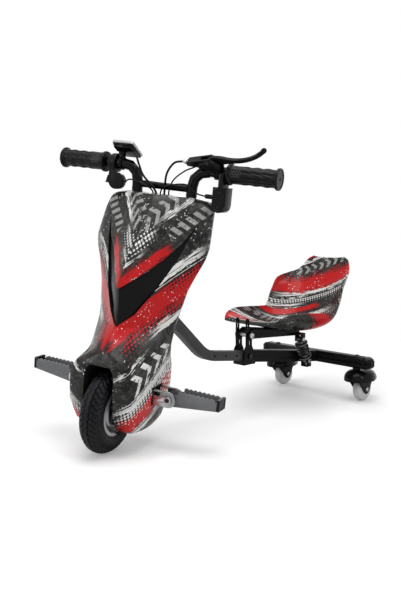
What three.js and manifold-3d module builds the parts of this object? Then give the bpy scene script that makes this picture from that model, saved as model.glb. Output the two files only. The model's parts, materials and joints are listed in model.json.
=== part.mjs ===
// Three-wheeled electric drift scooter with a steered front wheel and a sprung bucket seat.
// Millimetres, +Z up, the front of the scooter points along -Y and the rider's left is +X.
import * as THREE from 'three';
import { mergeVertices } from 'three/addons/utils/BufferGeometryUtils.js';
import Module from 'manifold-3d';

const wasm = await Module();
wasm.setup();

// Clearances shared by the whole scooter
const seatGap = 0.3;
const runningGap = 1;
const overrun = 3;
const weld = 0.00002;

// Steering: the axis leans back and meets the ground behind the tyre's contact
const rake = THREE.MathUtils.degToRad(18);
const steerAngle = THREE.MathUtils.degToRad(22);
const axisFoot = 13;

// Front wheel
const tyreRadius = 100;
const tyreWidth = 54;
const tyreSeatRadius = 50;
const rimLipRadius = 56;
const rimLipWidth = 3;
const rimHalfWidth = 22;
const rimWeb = 5;
const treadDepth = 2.5;
const treadShift = 2;
const motorRadius = 40;
const motorHalfWidth = 21;
const axleRadius = 6;
const axleHalfLength = 70;
const nutRadius = 11;
const nutLength = 8;
const valveRadius = 2;
const valveLength = 20;
const brakePlateRadius = 36;
const brakePlateWidth = 5;

// Fork and steering column
const forkInside = 44;
const forkPlate = 8;
const forkLegWidth = 34;
const crownBottom = 237;
const crownHeight = 16;
const crownDepth = 46;
const stemRadius = 14;
const stemDrop = 120;
const headRadius = 24;
const headBore = 20;
const headFootShare = 0.1733333;
const headDrop = 56;
const headJoinShare = 0.53;
const bearingRadius = 23;
const bearingHeight = 10;

// Handlebar
const barRadius = 11;
const riserRadius = 13;
const barRise = 57;
const barOffset = 8.6884;
const barHalfLength = 284;
const riserHalfSpan = 73;
const barBendRadius = 42;
const crossbarRadius = 8.5;
const crossbarDrop = 43;
const yokeHeight = 9;
const yokeDepth = 24;
const gripRadius = 21.5;
const gripFlangeRadius = 25;
const gripFlangeWidth = 7;
const gripInner = 163;
const gripOuter = 287;

// Fairing: one moulding in front, one behind, with a recessed insert
const fairingHeight = 540;
const fairingBase = 58;
const fairingHalfWidth = 149;
const fairingDepth = 240;
const fairingWall = 4;
const recessDepth = 2.4;
const recessRise = 10;
const insertThickness = 1.8;
const cavityDepth = 17;
const tunnelHalfWidth = 38;
const tunnelClearance = 26;
const tunnelOffset = 8;
const spineWidth = 18;
const spineDepth = 9;

// Battery and motor controller inside the fairing
const batteryWidth = 90;
const batteryDepth = 58;
const batteryHeight = 50;
const batteryClearance = 3.9;
const batteryLead = 31.3116;
const controllerWidth = 64;
const controllerDepth = 28;
const controllerHeight = 58;
const controllerRise = 14;
const controllerFront = 55;
const trayThickness = 5;

// Foot pegs
const pegPinX = 126;
const pegPinY = 65;
const pegPinZ = 141;
const pegLength = 122;
const pegWidth = 36;
const pegRootHeight = 37;
const pegTipHeight = 26;
const pegWall = 3;
const pegTeeth = 8;
const pegPinRadius = 5;
const pegBracketPlate = 3.5;

// Bent main tube
const tubeSize = 26;
const tubeWall = 2.5;
const tubeSlope = THREE.MathUtils.degToRad(7.6);
const bendY = 322;
const bendZ = 181;
const bendReach = 30;
const tubeEndY = 640;
const holeRadius = 3.2;
const holePitch = 42;
const holeCount = 3;

// Rear frame
const sleeveSize = 32;
const sleeveMouthY = 458;
const beamY = 800;
const beamZ = 119;
const beamSize = 34;
const beamHalfLength = 180;
const beamGroove = 3;
const beamCapLength = 22;

// Casters
const casterHalfSpan = 148;
const casterRadius = 35;
const casterWidth = 26;
const casterTrail = 30;
const casterFork = 3.5;
const hoodTop = 95;
const hoodHeight = 32;
const hoodHalfWidth = 36;
const hoodHalfLength = 50;
const hoodBeak = 27;
const kingpinRadius = 7;
const casterPinRadius = 4;

// Seat carrier and its pivot
const bracketPlate = 4;
const bracketDepth = 17;
const bracketFlare = 14;
const bracketRise = 48;
const pivotY = 479;
const pivotZ = 217;
const pivotRadius = 5;
const carrierHalfWidth = 25;
const carrierPlate = 4;
const carrierFlange = 14;

// Shock absorber, on the left of the sleeve
const shockX = 40;
const shockTopZ = 187;
const shockLean = 30;
const shockFootLead = 98;
const shockFootDrop = 10.297;
const springWire = 5.4;
const springRadius = 16;
const springTurns = 4;
const shockEyeRadius = 8;
const shockEyeWidth = 16;
const shockPinRadius = 4;
const damperRadius = 9;
const damperRodRadius = 4.5;
const springSeat = 3.5;
const lugPlate = 3;

// Bucket seat
const seatLength = 361;
const seatFrontY = 492;
const seatHalfWidth = 125;
const seatBaseZ = 214;
const seatRise = 200;
const seatWall = 5;

// Brake lever and its bracket, set on a plane that leans up and forward from the bar
const leverTilt = THREE.MathUtils.degToRad(45);
const clampX = 137;
const clampWidth = 13;
const clampWall = 5;
const leverPivotX = 122;
const leverPivotReach = 38;
const leverTipX = 262;
const leverTipReach = 82;
const leverThickness = 8;
const leverSwing = THREE.MathUtils.degToRad(11);
const bracketBlock = 18;
const barrelX = 66;
const barrelReach = 27;
const barrelRadius = 4;
const barrelLength = 18;

// Controls on the bar
const switchX = 154;
const switchWidth = 33;
const switchDepth = 38;
const switchHeight = 58;
const switchDrop = 31;
const switchBossRadius = 5.5;
const switchBossLength = 20;
const switchBossRise = 18;
const switchButtonRadius = 6;
const switchButtonLift = 4;
const switchButtonTravel = 2.5;
const throttleX = 148;
const throttleWidth = 16;
const throttleLeverWidth = 24;
const throttleReach = 50;
const throttleDrumRadius = 22.5;
const throttleDrumWidth = 14;
const throttleLobeRadius = 20;
const throttleLobeDepth = 18;
const throttleLobeDrop = 43;
const displayX = 109;
const displayWidth = 52;
const displayLength = 54;
const displayThickness = 10;
const displayRise = 34;
const displayTilt = THREE.MathUtils.degToRad(30);
const displayButtonRadius = 4;

// Facet counts
const rodSides = 12;
const wheelSides = 30;
const bearingSides = 18;
const gripSides = 16;
const cableSides = 8;

// Heights that follow the fairing's and the wheel's
const fairingTop = fairingBase + fairingHeight;
const barHeight = fairingTop + barRise;
const crossbarHeight = barHeight - crossbarDrop;
const stemTop = fairingTop - stemDrop;
const crownTop = crownBottom + crownHeight;
const headBottom = crownTop + headFootShare * (stemTop - crownTop);
const headLength = stemTop - headDrop - headBottom;
const batteryBottom = stemTop + 1.5 * yokeHeight + 2 * seatGap + trayThickness + batteryClearance;
const controllerBottom = headBottom + controllerRise;
const tunnelCentre = tyreRadius;
const tunnelRadius = tyreRadius + tunnelClearance;

const quarter = Math.PI / 2;
const sinRake = Math.sin(rake);
const cosRake = Math.cos(rake);

const vec = (x, y, z) => new THREE.Vector3(x, y, z);
const axisPoint = (z) => vec(0, axisFoot + z * Math.tan(rake), z);

// What stands on the column follows it as it leans back
const barSetback = axisPoint(stemTop).y + barOffset;
const batteryFront = axisPoint(stemTop).y - batteryLead;
const fairingLean = (height) => height * fairingHeight * Math.tan(rake);

// The tube's straight run, and the damper that stands beside it
const along = vec(0, Math.cos(tubeSlope), -Math.sin(tubeSlope));
const bend = vec(0, bendY, bendZ);
const onTube = (y) => bend.clone().addScaledVector(along, (y - bendY) / along.y);
const shockFootY = beamY - shockFootLead;
const shockFootZ = onTube(shockFootY).z - shockFootDrop;
const shockTopY = shockFootY - shockLean;
const carrierEndY = shockTopY + 2 * shockEyeRadius;

// Solids and booleans
function solidOf(geometry) {
  const plain = new THREE.BufferGeometry();
  plain.setAttribute('position', geometry.getAttribute('position').clone());
  if (geometry.index) plain.setIndex(geometry.index.clone());
  const merged = mergeVertices(plain, weld);
  const triangles = [];
  for (let i = 0; i < merged.index.count; i += 3) {
    const [a, b, c] = [0, 1, 2].map((k) => merged.index.getX(i + k));
    if (a !== b && b !== c && a !== c) triangles.push(a, b, c);
  }
  const vertProperties = new Float32Array(merged.getAttribute('position').array);
  return new wasm.Manifold(new wasm.Mesh({ numProp: 3, vertProperties, triVerts: new Uint32Array(triangles) }));
}

function geometryOf(solid) {
  const mesh = solid.getMesh();
  const geometry = new THREE.BufferGeometry();
  geometry.setAttribute('position', new THREE.BufferAttribute(new Float32Array(mesh.vertProperties), 3));
  geometry.setIndex(new THREE.BufferAttribute(new Uint32Array(mesh.triVerts), 1));
  return geometry;
}

const asSolid = (item) => (item.isBufferGeometry ? solidOf(item) : item);
const join = (...items) => items.map(asSolid).reduce((whole, next) => whole.add(next));
const cut = (body, ...tools) => tools.map(asSolid).reduce((rest, tool) => rest.subtract(tool), asSolid(body));
const common = (first, second) => asSolid(first).intersect(asSolid(second));

function flipped(geometry) {
  const mirror = geometry.clone().scale(-1, 1, 1);
  if (!mirror.index) mirror.setIndex([...Array(mirror.getAttribute('position').count).keys()]);
  const index = mirror.index.array.slice();
  for (let i = 0; i < index.length; i += 3) [index[i], index[i + 1]] = [index[i + 1], index[i]];
  mirror.setIndex(new THREE.BufferAttribute(index, 1));
  return mirror;
}

const sided = (geometry, side) => (side < 0 ? flipped(geometry) : geometry);

// Simple forms
const box = (width, depth, height, at) => new THREE.BoxGeometry(width, depth, height).translate(at.x, at.y, at.z);

function alongAxis(geometry, axis) {
  if (axis === 'x') geometry.rotateZ(-quarter);
  if (axis === 'z') geometry.rotateX(quarter);
  return geometry;
}

function rod(radius, length, axis, at, sides = rodSides) {
  return alongAxis(new THREE.CylinderGeometry(radius, radius, length, sides), axis).translate(at.x, at.y, at.z);
}

function rodBetween(from, to, radius, sides = rodSides) {
  const reach = to.clone().sub(from);
  const geometry = new THREE.CylinderGeometry(radius, radius, reach.length(), sides);
  geometry.applyQuaternion(new THREE.Quaternion().setFromUnitVectors(vec(0, 1, 0), reach.normalize()));
  const middle = from.clone().add(to).multiplyScalar(0.5);
  return geometry.translate(middle.x, middle.y, middle.z);
}

function revolve(profile, axis, at, sides = wheelSides) {
  const points = profile.map(([radius, along]) => new THREE.Vector2(radius, along));
  const geometry = new THREE.LatheGeometry(points, sides);
  if (axis === 'x') geometry.rotateZ(-quarter);
  if (axis === 'z') geometry.rotateX(quarter);
  return geometry.translate(at.x, at.y, at.z);
}

function tubeRing(outer, inner, length, axis, at, sides = rodSides) {
  const half = length / 2;
  const profile = [[inner, -half], [outer, -half], [outer, half], [inner, half], [inner, -half]];
  return revolve(profile, axis, at, sides);
}

function outline(points) {
  return new THREE.Shape(points.map(([x, y]) => new THREE.Vector2(x, y)));
}

// An outline in the YZ plane, extruded across X between two places
function sidePlate(points, fromX, toX) {
  const solid = new THREE.ExtrudeGeometry(outline(points), { depth: toX - fromX, bevelEnabled: false });
  const turn = new THREE.Matrix4().makeBasis(vec(0, 1, 0), vec(0, 0, 1), vec(1, 0, 0));
  return solid.applyMatrix4(turn).translate(fromX, 0, 0);
}

// An outline in the XZ plane, extruded along Y between two places
function frontPlate(points, fromY, toY) {
  const solid = new THREE.ExtrudeGeometry(outline(points), { depth: toY - fromY, bevelEnabled: false });
  return solid.rotateX(quarter).translate(0, toY, 0);
}

function circleShape(radius, sides) {
  const turn = (k) => (2 * Math.PI * k) / sides;
  return outline([...Array(sides).keys()].map((k) => [radius * Math.cos(turn(k)), radius * Math.sin(turn(k))]));
}

function sweep(curve, shape, steps) {
  return new THREE.ExtrudeGeometry(shape, { extrudePath: curve, steps, bevelEnabled: false });
}

const smooth = (points) => new THREE.CatmullRomCurve3(points, false, 'catmullrom', 0.5);

// A closed skin through rings that all have as many points
function loft(rings) {
  const count = rings[0].length;
  const positions = [];
  for (const ring of rings) for (const point of ring) positions.push(point.x, point.y, point.z);
  const triangles = [];
  for (let i = 0; i + 1 < rings.length; i += 1) {
    for (let k = 0; k < count; k += 1) {
      const next = (k + 1) % count;
      const [a, b, c, d] = [i * count + k, i * count + next, (i + 1) * count + next, (i + 1) * count + k];
      triangles.push(a, b, c, a, c, d);
    }
  }
  for (const [ring, start, end] of [[rings[0], 0, 0], [rings.at(-1), (rings.length - 1) * count, 1]]) {
    const middle = ring.reduce((sum, point) => sum.add(point), vec(0, 0, 0)).divideScalar(count);
    const centre = positions.length / 3;
    positions.push(middle.x, middle.y, middle.z);
    for (let k = 0; k < count; k += 1) {
      const next = (k + 1) % count;
      if (end) triangles.push(start + k, start + next, centre);
      else triangles.push(start + next, start + k, centre);
    }
  }
  const geometry = new THREE.BufferGeometry();
  geometry.setAttribute('position', new THREE.Float32BufferAttribute(positions, 3));
  geometry.setIndex(triangles);
  return geometry;
}

// Radius of a faceted bore that clears a rod of the given radius
const boreFor = (radius, sides = rodSides) => (radius + seatGap) / Math.cos(Math.PI / sides);

// Finishes
const finish = (color, roughness, metalness) => new THREE.MeshStandardMaterial({ color, roughness, metalness });
const printedShell = finish(0x8f2a2a, 0.3, 0);
const glossBlack = finish(0x141416, 0.25, 0);
const satinBlack = finish(0x1d1d1f, 0.5, 0.3);
const rubberBlack = finish(0x18181a, 0.9, 0);
const frameGrey = finish(0x4a4c4f, 0.5, 0.4);
const pegGrey = finish(0x7d7f82, 0.45, 0.6);
const steel = finish(0xb9bcc0, 0.35, 0.9);
const castSilver = finish(0xc4c6c8, 0.4, 0.8);
const paleWheel = finish(0xe6e8e6, 0.3, 0);
const plainBlue = finish(0x2b4a7a, 0.5, 0);
const paleSilver = finish(0xd9dadb, 0.35, 0.3);
const darkGlass = finish(0x0c1014, 0.1, 0);

const scooter = new THREE.Group();

function addPart(parent, name, item, material) {
  const geometry = item.isBufferGeometry ? item : geometryOf(item);
  const mesh = new THREE.Mesh(geometry, material);
  mesh.name = name;
  parent.add(mesh);
  return mesh;
}

// The turned wheel drops by this much, so the hub is raised by as much to stand on the ground
function turnedSink() {
  const axis = vec(0, sinRake, cosRake);
  const hub = vec(0, -axisFoot, tyreRadius).applyAxisAngle(axis, steerAngle);
  const tilt = vec(1, 0, 0).applyAxisAngle(axis, steerAngle).z;
  const section = tyreWidth / 2;
  const lowest = hub.z - (tyreRadius - section) * Math.sqrt(1 - tilt * tilt) - section;
  return -lowest;
}

const steered = new THREE.Group();
steered.position.set(0, axisFoot, 0);
steered.quaternion.setFromAxisAngle(vec(0, sinRake, cosRake), steerAngle);
const front = new THREE.Group();
front.position.set(0, -axisFoot, 0);
steered.add(front);
scooter.add(steered);

const hub = vec(0, 0, tyreRadius + turnedSink());

// Tyre with a zigzag tread, turned about X
function tyre() {
  const section = tyreWidth / 2;
  const centre = tyreRadius - section;
  const bead = rimHalfWidth - rimLipWidth - seatGap;
  const floorDepth = treadDepth / section;
  const grooveShares = [-0.62, -0.5, -0.38, -0.12, 0, 0.12, 0.38, 0.5, 0.62];
  const flankShares = [2.05, 1.5];
  const profile = flankShares.map((share) => ({ turn: -share, depth: 0, shift: 0 }));
  grooveShares.forEach((share, k) => {
    const isGroove = k % 3 === 1;
    profile.push({ turn: share, depth: isGroove ? floorDepth : 0, shift: 1 });
  });
  profile.push(...[...flankShares].reverse().map((share) => ({ turn: share, depth: 0, shift: 0 })));
  const beadTop = rimLipRadius + seatGap;
  const beadSeat = tyreSeatRadius + seatGap;
  const steps = 48;
  const rings = [];
  for (let i = 0; i < steps; i += 1) {
    const angle = (2 * Math.PI * i) / steps;
    const zigzag = i % 4 < 2 ? treadShift / 2 : -treadShift / 2;
    const ring = profile.map(({ turn, depth, shift }) => {
      const radius = centre + section * (1 - depth) * Math.cos(turn);
      const x = section * (1 - depth) * Math.sin(turn) + shift * zigzag;
      return vec(x, radius * Math.cos(angle), radius * Math.sin(angle));
    });
    for (const [x, radius] of [[bead, beadTop], [bead, beadSeat], [-bead, beadSeat], [-bead, beadTop]]) {
      ring.push(vec(x, radius * Math.cos(angle), radius * Math.sin(angle)));
    }
    rings.push(ring);
  }
  return closedGrid(rings).translate(hub.x, hub.y, hub.z);
}

// Rings joined into a ring of rings, such as a tyre
function closedGrid(rings) {
  const count = rings[0].length;
  const positions = rings.flat().flatMap((point) => [point.x, point.y, point.z]);
  const triangles = [];
  rings.forEach((ring, i) => {
    const after = (i + 1) % rings.length;
    for (let k = 0; k < count; k += 1) {
      const next = (k + 1) % count;
      const [a, b, c, d] = [i * count + k, i * count + next, after * count + next, after * count + k];
      triangles.push(a, c, b, a, d, c);
    }
  });
  const geometry = new THREE.BufferGeometry();
  geometry.setAttribute('position', new THREE.Float32BufferAttribute(positions, 3));
  geometry.setIndex(triangles);
  return geometry;
}

// The valve stands out of the rim's web, between the hub motor and the tyre's seat
function valve() {
  const reach = motorRadius + 2 * seatGap + valveRadius;
  return rod(valveRadius, valveLength, 'x', vec(valveLength / 2, hub.y, hub.z - reach), cableSides);
}

function rim() {
  const lipInside = rimHalfWidth - rimLipWidth;
  const bore = motorRadius + seatGap;
  const shoulder = (tyreSeatRadius + bore) / 2;
  const profile = [
    [bore, -rimWeb], [shoulder, -rimWeb], [shoulder + rimLipWidth, -lipInside], [shoulder + rimLipWidth, -rimHalfWidth],
    [rimLipRadius, -rimHalfWidth], [rimLipRadius, -lipInside], [tyreSeatRadius, -lipInside],
    [tyreSeatRadius, lipInside], [rimLipRadius, lipInside], [rimLipRadius, rimHalfWidth],
    [shoulder + rimLipWidth, rimHalfWidth], [shoulder + rimLipWidth, lipInside], [shoulder, rimWeb], [bore, rimWeb],
    [bore, -rimWeb],
  ];
  return join(revolve(profile, 'x', hub), valve());
}

function hubMotor() {
  const bore = axleRadius + seatGap;
  const step = motorRadius - rimWeb;
  const profile = [
    [bore, -motorHalfWidth], [step, -motorHalfWidth], [motorRadius, -motorHalfWidth + rimWeb],
    [motorRadius, motorHalfWidth - rimWeb], [step, motorHalfWidth], [bore, motorHalfWidth], [bore, -motorHalfWidth],
  ];
  return revolve(profile, 'x', hub);
}

const forkOutside = forkInside + forkPlate;

function frontAxle() {
  const nut = rod(nutRadius, nutLength, 'x', vec(forkOutside + seatGap + nutLength / 2, hub.y, hub.z), 6);
  return join(rod(axleRadius, 2 * axleHalfLength, 'x', hub), nut, flipped(nut));
}

const brakePlateX = -(motorHalfWidth + seatGap + brakePlateWidth / 2);

function brakePlate() {
  return tubeRing(brakePlateRadius, boreFor(axleRadius), brakePlateWidth, 'x', vec(brakePlateX, hub.y, hub.z));
}

// Fork legs, crown and steering column as one weldment
function forkLegOutline() {
  const half = forkLegWidth / 2;
  const crownY = axisPoint(crownBottom).y;
  const lugBottom = pegPinZ - pegRootHeight / 2;
  const lugTop = pegPinZ + pegRootHeight / 2;
  const lugBack = pegPinY + pegWidth / 2 + 2 * pegBracketPlate;
  return [
    [-half, hub.z - half / 2], [0, hub.z - half], [half, hub.z - half / 2], [pegPinY - half, lugBottom],
    [lugBack, lugBottom], [lugBack, lugTop], [pegPinY, lugTop], [crownY + crownDepth / 2, crownBottom],
    [crownY + crownDepth / 2, crownTop], [crownY - crownDepth / 2, crownTop], [-half, hub.z + half],
  ];
}

function fork() {
  const leg = sidePlate(forkLegOutline(), forkInside, forkOutside);
  const crownAt = vec(0, axisPoint(crownBottom).y, crownBottom + crownHeight / 2);
  const crown = box(2 * forkOutside, crownDepth, crownHeight, crownAt);
  const stem = rodBetween(axisPoint(crownBottom + crownHeight / 2), axisPoint(stemTop), stemRadius);
  const dropout = rod(boreFor(axleRadius), 2 * axleHalfLength, 'x', hub);
  return cut(join(leg, flipped(leg), crown, stem), dropout);
}

// Everything on the steering column is set along the raked axis
function onColumn(geometry, z) {
  const at = axisPoint(z);
  return geometry.rotateX(-rake).translate(at.x, at.y, at.z);
}

function bearing(z) {
  const lip = headBore - 2 * seatGap;
  const half = bearingHeight / 2;
  const bore = boreFor(stemRadius, bearingSides);
  const below = z < headBottom + headLength / 2 ? -1 : 1;
  const profile = [
    [bore, -half * below], [lip, -half * below], [lip, 0], [bearingRadius, 0], [bearingRadius, half * below],
    [bore, half * below], [bore, -half * below],
  ];
  const ordered = below > 0 ? profile : profile.reverse();
  return onColumn(revolve(ordered, 'z', vec(0, 0, 0), bearingSides), z);
}

// Handlebar: two risers out of the fairing, each bent outward into a grip end
function barHalf() {
  const foot = axisPoint(stemTop).z + yokeHeight;
  const bend = new THREE.CurvePath();
  bend.add(new THREE.LineCurve3(vec(riserHalfSpan, barSetback, foot), vec(riserHalfSpan, barSetback, barHeight - barBendRadius)));
  bend.add(new THREE.QuadraticBezierCurve3(
    vec(riserHalfSpan, barSetback, barHeight - barBendRadius), vec(riserHalfSpan, barSetback, barHeight),
    vec(riserHalfSpan + barBendRadius, barSetback, barHeight)));
  const riser = sweep(bend, circleShape(riserRadius, rodSides), 9);
  const inner = riserHalfSpan + barBendRadius - overrun;
  const end = rod(barRadius, barHalfLength - inner, 'x', vec((barHalfLength + inner) / 2, barSetback, barHeight));
  return join(riser, end);
}

function handlebar() {
  const half = geometryOf(barHalf());
  const crossbar = rod(crossbarRadius, 2 * riserHalfSpan, 'x', vec(0, barSetback, crossbarHeight));
  const yokeZ = axisPoint(stemTop).z + seatGap + yokeHeight;
  const yokeAt = vec(0, barSetback, yokeZ);
  const yoke = box(2 * (riserHalfSpan + riserRadius), yokeDepth, yokeHeight, yokeAt);
  const clampRadius = stemRadius + 1.6 * clampWall;
  const clampLength = 5 * yokeHeight;
  const clamp = new THREE.CylinderGeometry(clampRadius, clampRadius, clampLength, rodSides).rotateX(quarter);
  const clampBlock = onColumn(clamp, stemTop - 1.6 * yokeHeight);
  const stemBore = rodBetween(axisPoint(crownBottom), axisPoint(stemTop + seatGap), boreFor(stemRadius));
  return cut(join(half, flipped(half), crossbar, yoke, clampBlock), stemBore);
}

function grip(side) {
  const bore = boreFor(barRadius, gripSides);
  const flange = gripFlangeWidth;
  const length = gripOuter - gripInner;
  const profile = [[bore, 0], [gripFlangeRadius, 0], [gripFlangeRadius, flange], [gripRadius, flange * 1.5]];
  const ribs = 3;
  for (let k = 1; k < ribs; k += 1) {
    const share = k / ribs;
    const along = flange * 2 + (length - 4 * flange) * share;
    profile.push([gripRadius + (k % 2 ? 0 : -runningGap), along]);
  }
  const cap = length - flange;
  profile.push([gripRadius, cap - flange / 2], [gripFlangeRadius, cap], [gripFlangeRadius, length - runningGap]);
  profile.push([gripRadius, length], [0, length], [0, length - flange / 3], [bore, length - flange / 3], [bore, 0]);
  const solid = revolve(profile, 'x', vec(0, 0, 0), gripSides);
  return sided(solid.translate(gripInner, barSetback, barHeight), side);
}

// Fairing sections: height, front, ridge x and y, side x and y, rear corner x and y, back,
// as shares of the fairing's height, half width and depth, with depths past the column's lean
const fairingRowShares = [
  [0, -0.02, 0.42, 0, 0.48, 0.2, 0.44, 0.4, 0.44],
  [0.035, -0.1956, 0.47, -0.1256, 0.545, 0.1844, 0.5, 0.4744, 0.5244],
  [0.13, -0.33, 0.53, -0.285, 0.575, 0.115, 0.53, 0.505, 0.575],
  [0.25, -0.4228, 0.53, -0.3878, 0.575, 0.0172, 0.52, 0.4272, 0.4972],
  [0.3, -0.4473, 0.43, -0.4193, 0.575, -0.0393, 0.52, 0.3507, 0.4407],
  [0.35, -0.4159, 0.17, -0.4009, 0.6, -0.0359, 0.52, 0.3041, 0.4041],
  [0.44, -0.3167, 0.31, -0.1617, 0.66, 0.0483, 0.53, 0.2783, 0.3783],
  [0.52, -0.3922, 0.36, -0.1802, 0.72, 0.0498, 0.55, 0.2598, 0.3698],
  [0.6, -0.4656, 0.38, -0.2286, 0.77, 0.0264, 0.6, 0.2414, 0.3514],
  [0.68, -0.4321, 0.44, -0.2071, 0.88, 0.0229, 0.66, 0.2229, 0.3329],
  [0.735, -0.4073, 0.47, -0.1923, 0.965, 0.0127, 0.71, 0.2127, 0.3227],
  [0.79, -0.3675, 0.49, -0.1875, 1, -0.0055, 0.76, 0.2125, 0.3225],
  [0.91, -0.2603, 0.49, -0.1453, 0.955, -0.0153, 0.79, 0.1847, 0.2947],
  [0.958, -0.2254, 0.45, -0.1204, 0.92, -0.0004, 0.78, 0.1696, 0.2646],
  [0.977, -0.2093, 0.42, -0.1143, 0.84, 0.0007, 0.72, 0.1457, 0.2307],
  [0.99, -0.1738, 0.38, -0.0938, 0.62, 0.0012, 0.52, 0.1062, 0.1662],
];

function fairingRow(shares, inset, rise) {
  const [height, frontY, ridgeX, ridgeY, sideX, sideY, rearX, rearY, backY] = shares;
  const base = fairingBase + inset;
  const z = base + height * (fairingHeight - 2 * inset);
  const wide = (share) => Math.max(share * fairingHalfWidth - inset, 0);
  const deep = (share) => fairingLean(height) + share * fairingDepth;
  return [
    vec(0, deep(frontY) + inset + rise, z),
    vec(ridgeX * fairingHalfWidth - inset / 2, deep(ridgeY) + inset + rise * 0.6, z),
    vec(wide(sideX), deep(sideY), z),
    vec(wide(rearX), deep(rearY) - inset, z),
    vec(0, deep(backY) - inset, z),
  ];
}

const outsideRing = 32;
const insideRing = 20;
const outsideRows = 2;
const insideRows = 1;
const cornerTension = 0.22;

function fairingLoft(inset, rise, ringCount = outsideRing, rowsBetween = outsideRows) {
  const rows = fairingRowShares.map((shares) => {
    const raised = shares[0] > 0.45 ? rise : 0;
    return fairingRow(shares, inset, raised);
  });
  const guides = rows[0].map((_, k) => new THREE.CatmullRomCurve3(rows.map((row) => row[k]), false, 'catmullrom', cornerTension));
  const levels = (rows.length - 1) * rowsBetween;
  const rings = [];
  for (let i = 0; i <= levels; i += 1) {
    const half = guides.map((guide) => guide.getPoint(i / levels));
    const level = half[0].z;
    const mirror = half.slice(1, -1).reverse().map((point) => vec(-point.x, point.y, point.z));
    const around = new THREE.CatmullRomCurve3([...half, ...mirror], true, 'catmullrom', cornerTension);
    const ring = [...Array(ringCount).keys()].map((k) => around.getPoint(k / ringCount).setZ(level));
    rings.push(ring.reverse());
  }
  return orientOut(loft(rings));
}

function signedVolume(geometry) {
  const position = geometry.getAttribute('position');
  const corner = (i) => new THREE.Vector3().fromBufferAttribute(position, geometry.index.getX(i));
  let total = 0;
  for (let i = 0; i < geometry.index.count; i += 3) total += corner(i).dot(corner(i + 1).cross(corner(i + 2)));
  return total;
}

function orientOut(geometry) {
  if (signedVolume(geometry) > 0) return geometry;
  const index = geometry.index.array.slice();
  for (let i = 0; i < index.length; i += 3) [index[i], index[i + 1]] = [index[i + 1], index[i]];
  geometry.setIndex(new THREE.BufferAttribute(index, 1));
  return geometry;
}

// Wheel tunnel through the fairing, open below
function tunnel(wall) {
  const reach = tunnelRadius + wall;
  const points = [];
  const steps = 14;
  for (let k = 0; k <= steps; k += 1) {
    const angle = (Math.PI * k) / steps;
    points.push([-tunnelOffset + reach * Math.cos(angle), tunnelCentre + reach * Math.sin(angle)]);
  }
  points.push([-tunnelOffset - reach, -overrun], [-tunnelOffset + reach, -overrun]);
  const around = sidePlate(points, -fairingHalfWidth, fairingHalfWidth);
  const half = tunnelHalfWidth + wall;
  const crown = [[-half, -2 * overrun], [half, -2 * overrun]];
  const crownSteps = 8;
  for (let k = 0; k <= crownSteps; k += 1) {
    const angle = (Math.PI * k) / crownSteps;
    crown.push([half * Math.cos(angle), tunnelCentre + reach - half * (1 - Math.sin(angle)) + runningGap]);
  }
  return common(around, frontPlate(crown, -fairingDepth, fairingDepth));
}

// The seam runs down the flank, as shares of height and of depth past the lean
const seamShares = [[1.1, 0.0158], [0.79, 0.0825], [0.58, 0.146], [0.46, 0.1637], [0.31, 0.0634], [-0.1, 0.3631]];

function seamHalf(front) {
  const nudge = front ? -seatGap / 2 : seatGap / 2;
  const line = seamShares.map(([height, depth]) => [
    fairingLean(height) + depth * fairingDepth + nudge, fairingBase + height * fairingHeight,
  ]);
  const far = front ? -fairingDepth : 2 * fairingDepth;
  const points = [...line, [far, line.at(-1)[1]], [far, line[0][1]]];
  return sidePlate(points, -2 * fairingHalfWidth, 2 * fairingHalfWidth);
}

// The recess is a V between the raised panel and the flanks, as shares of half width and height
const outerEdgeShares = [[0, 0.44], [0.21, 0.495], [0.42, 0.6], [0.61, 0.725], [0.78, 0.885]];
const innerEdgeShares = [[0.635, 0.8], [0.25, 0.665], [0, 0.6]];
const insertBackShare = -0.007;

function insertPrism(shrink) {
  const place = (share, lift, pull = 0) => [share[0] * fairingHalfWidth - pull, fairingBase + share[1] * fairingHeight + lift];
  const lower = outerEdgeShares.slice(0, -1).map((share) => place(share, 4 * shrink));
  const tip = place(outerEdgeShares.at(-1), -11 * shrink, 4.3 * shrink);
  const upper = innerEdgeShares.map((share) => place(share, -2 * shrink));
  const right = [...lower, tip, ...upper];
  const left = right.slice(1, -1).reverse().map(([x, z]) => [-x, z]);
  const back = fairingLean(outerEdgeShares.at(-1)[1]) + insertBackShare * fairingDepth;
  return frontPlate([...right, ...left], -fairingDepth, back);
}

function spineGroove() {
  const [bottomShare, topShare] = [0.735, 0.99];
  const [bottomFrontShare, topFrontShare] = [-0.4073, -0.2338];
  const top = fairingBase + topShare * fairingHeight;
  const bottom = fairingBase + bottomShare * fairingHeight;
  const topFront = fairingLean(topShare) + topFrontShare * fairingDepth;
  const bottomFront = fairingLean(bottomShare) + bottomFrontShare * fairingDepth;
  const section = (z, y, half, depth) => [vec(-half, y - overrun * 3, z), vec(half, y - overrun * 3, z), vec(0, y + depth, z)];
  const rings = [
    section(bottom, bottomFront, spineWidth / 5, 0),
    section((top + bottom) / 2, (topFront + bottomFront) / 2, spineWidth / 3, spineDepth * 0.8),
    section(top, topFront, spineWidth / 1.6, spineDepth * 1.3),
    section(top + 2 * overrun * 5, topFront + overrun * 3, spineWidth / 1.5, spineDepth * 1.3),
  ];
  return orientOut(loft(rings));
}

// A shelf grows out of the front wall, up to its rear edge
function shelf(width, rearY, topZ) {
  const frontY = -fairingDepth / 4;
  return box(width, rearY - frontY, trayThickness, vec(0, (rearY + frontY) / 2, topZ - seatGap - trayThickness / 2));
}

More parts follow.
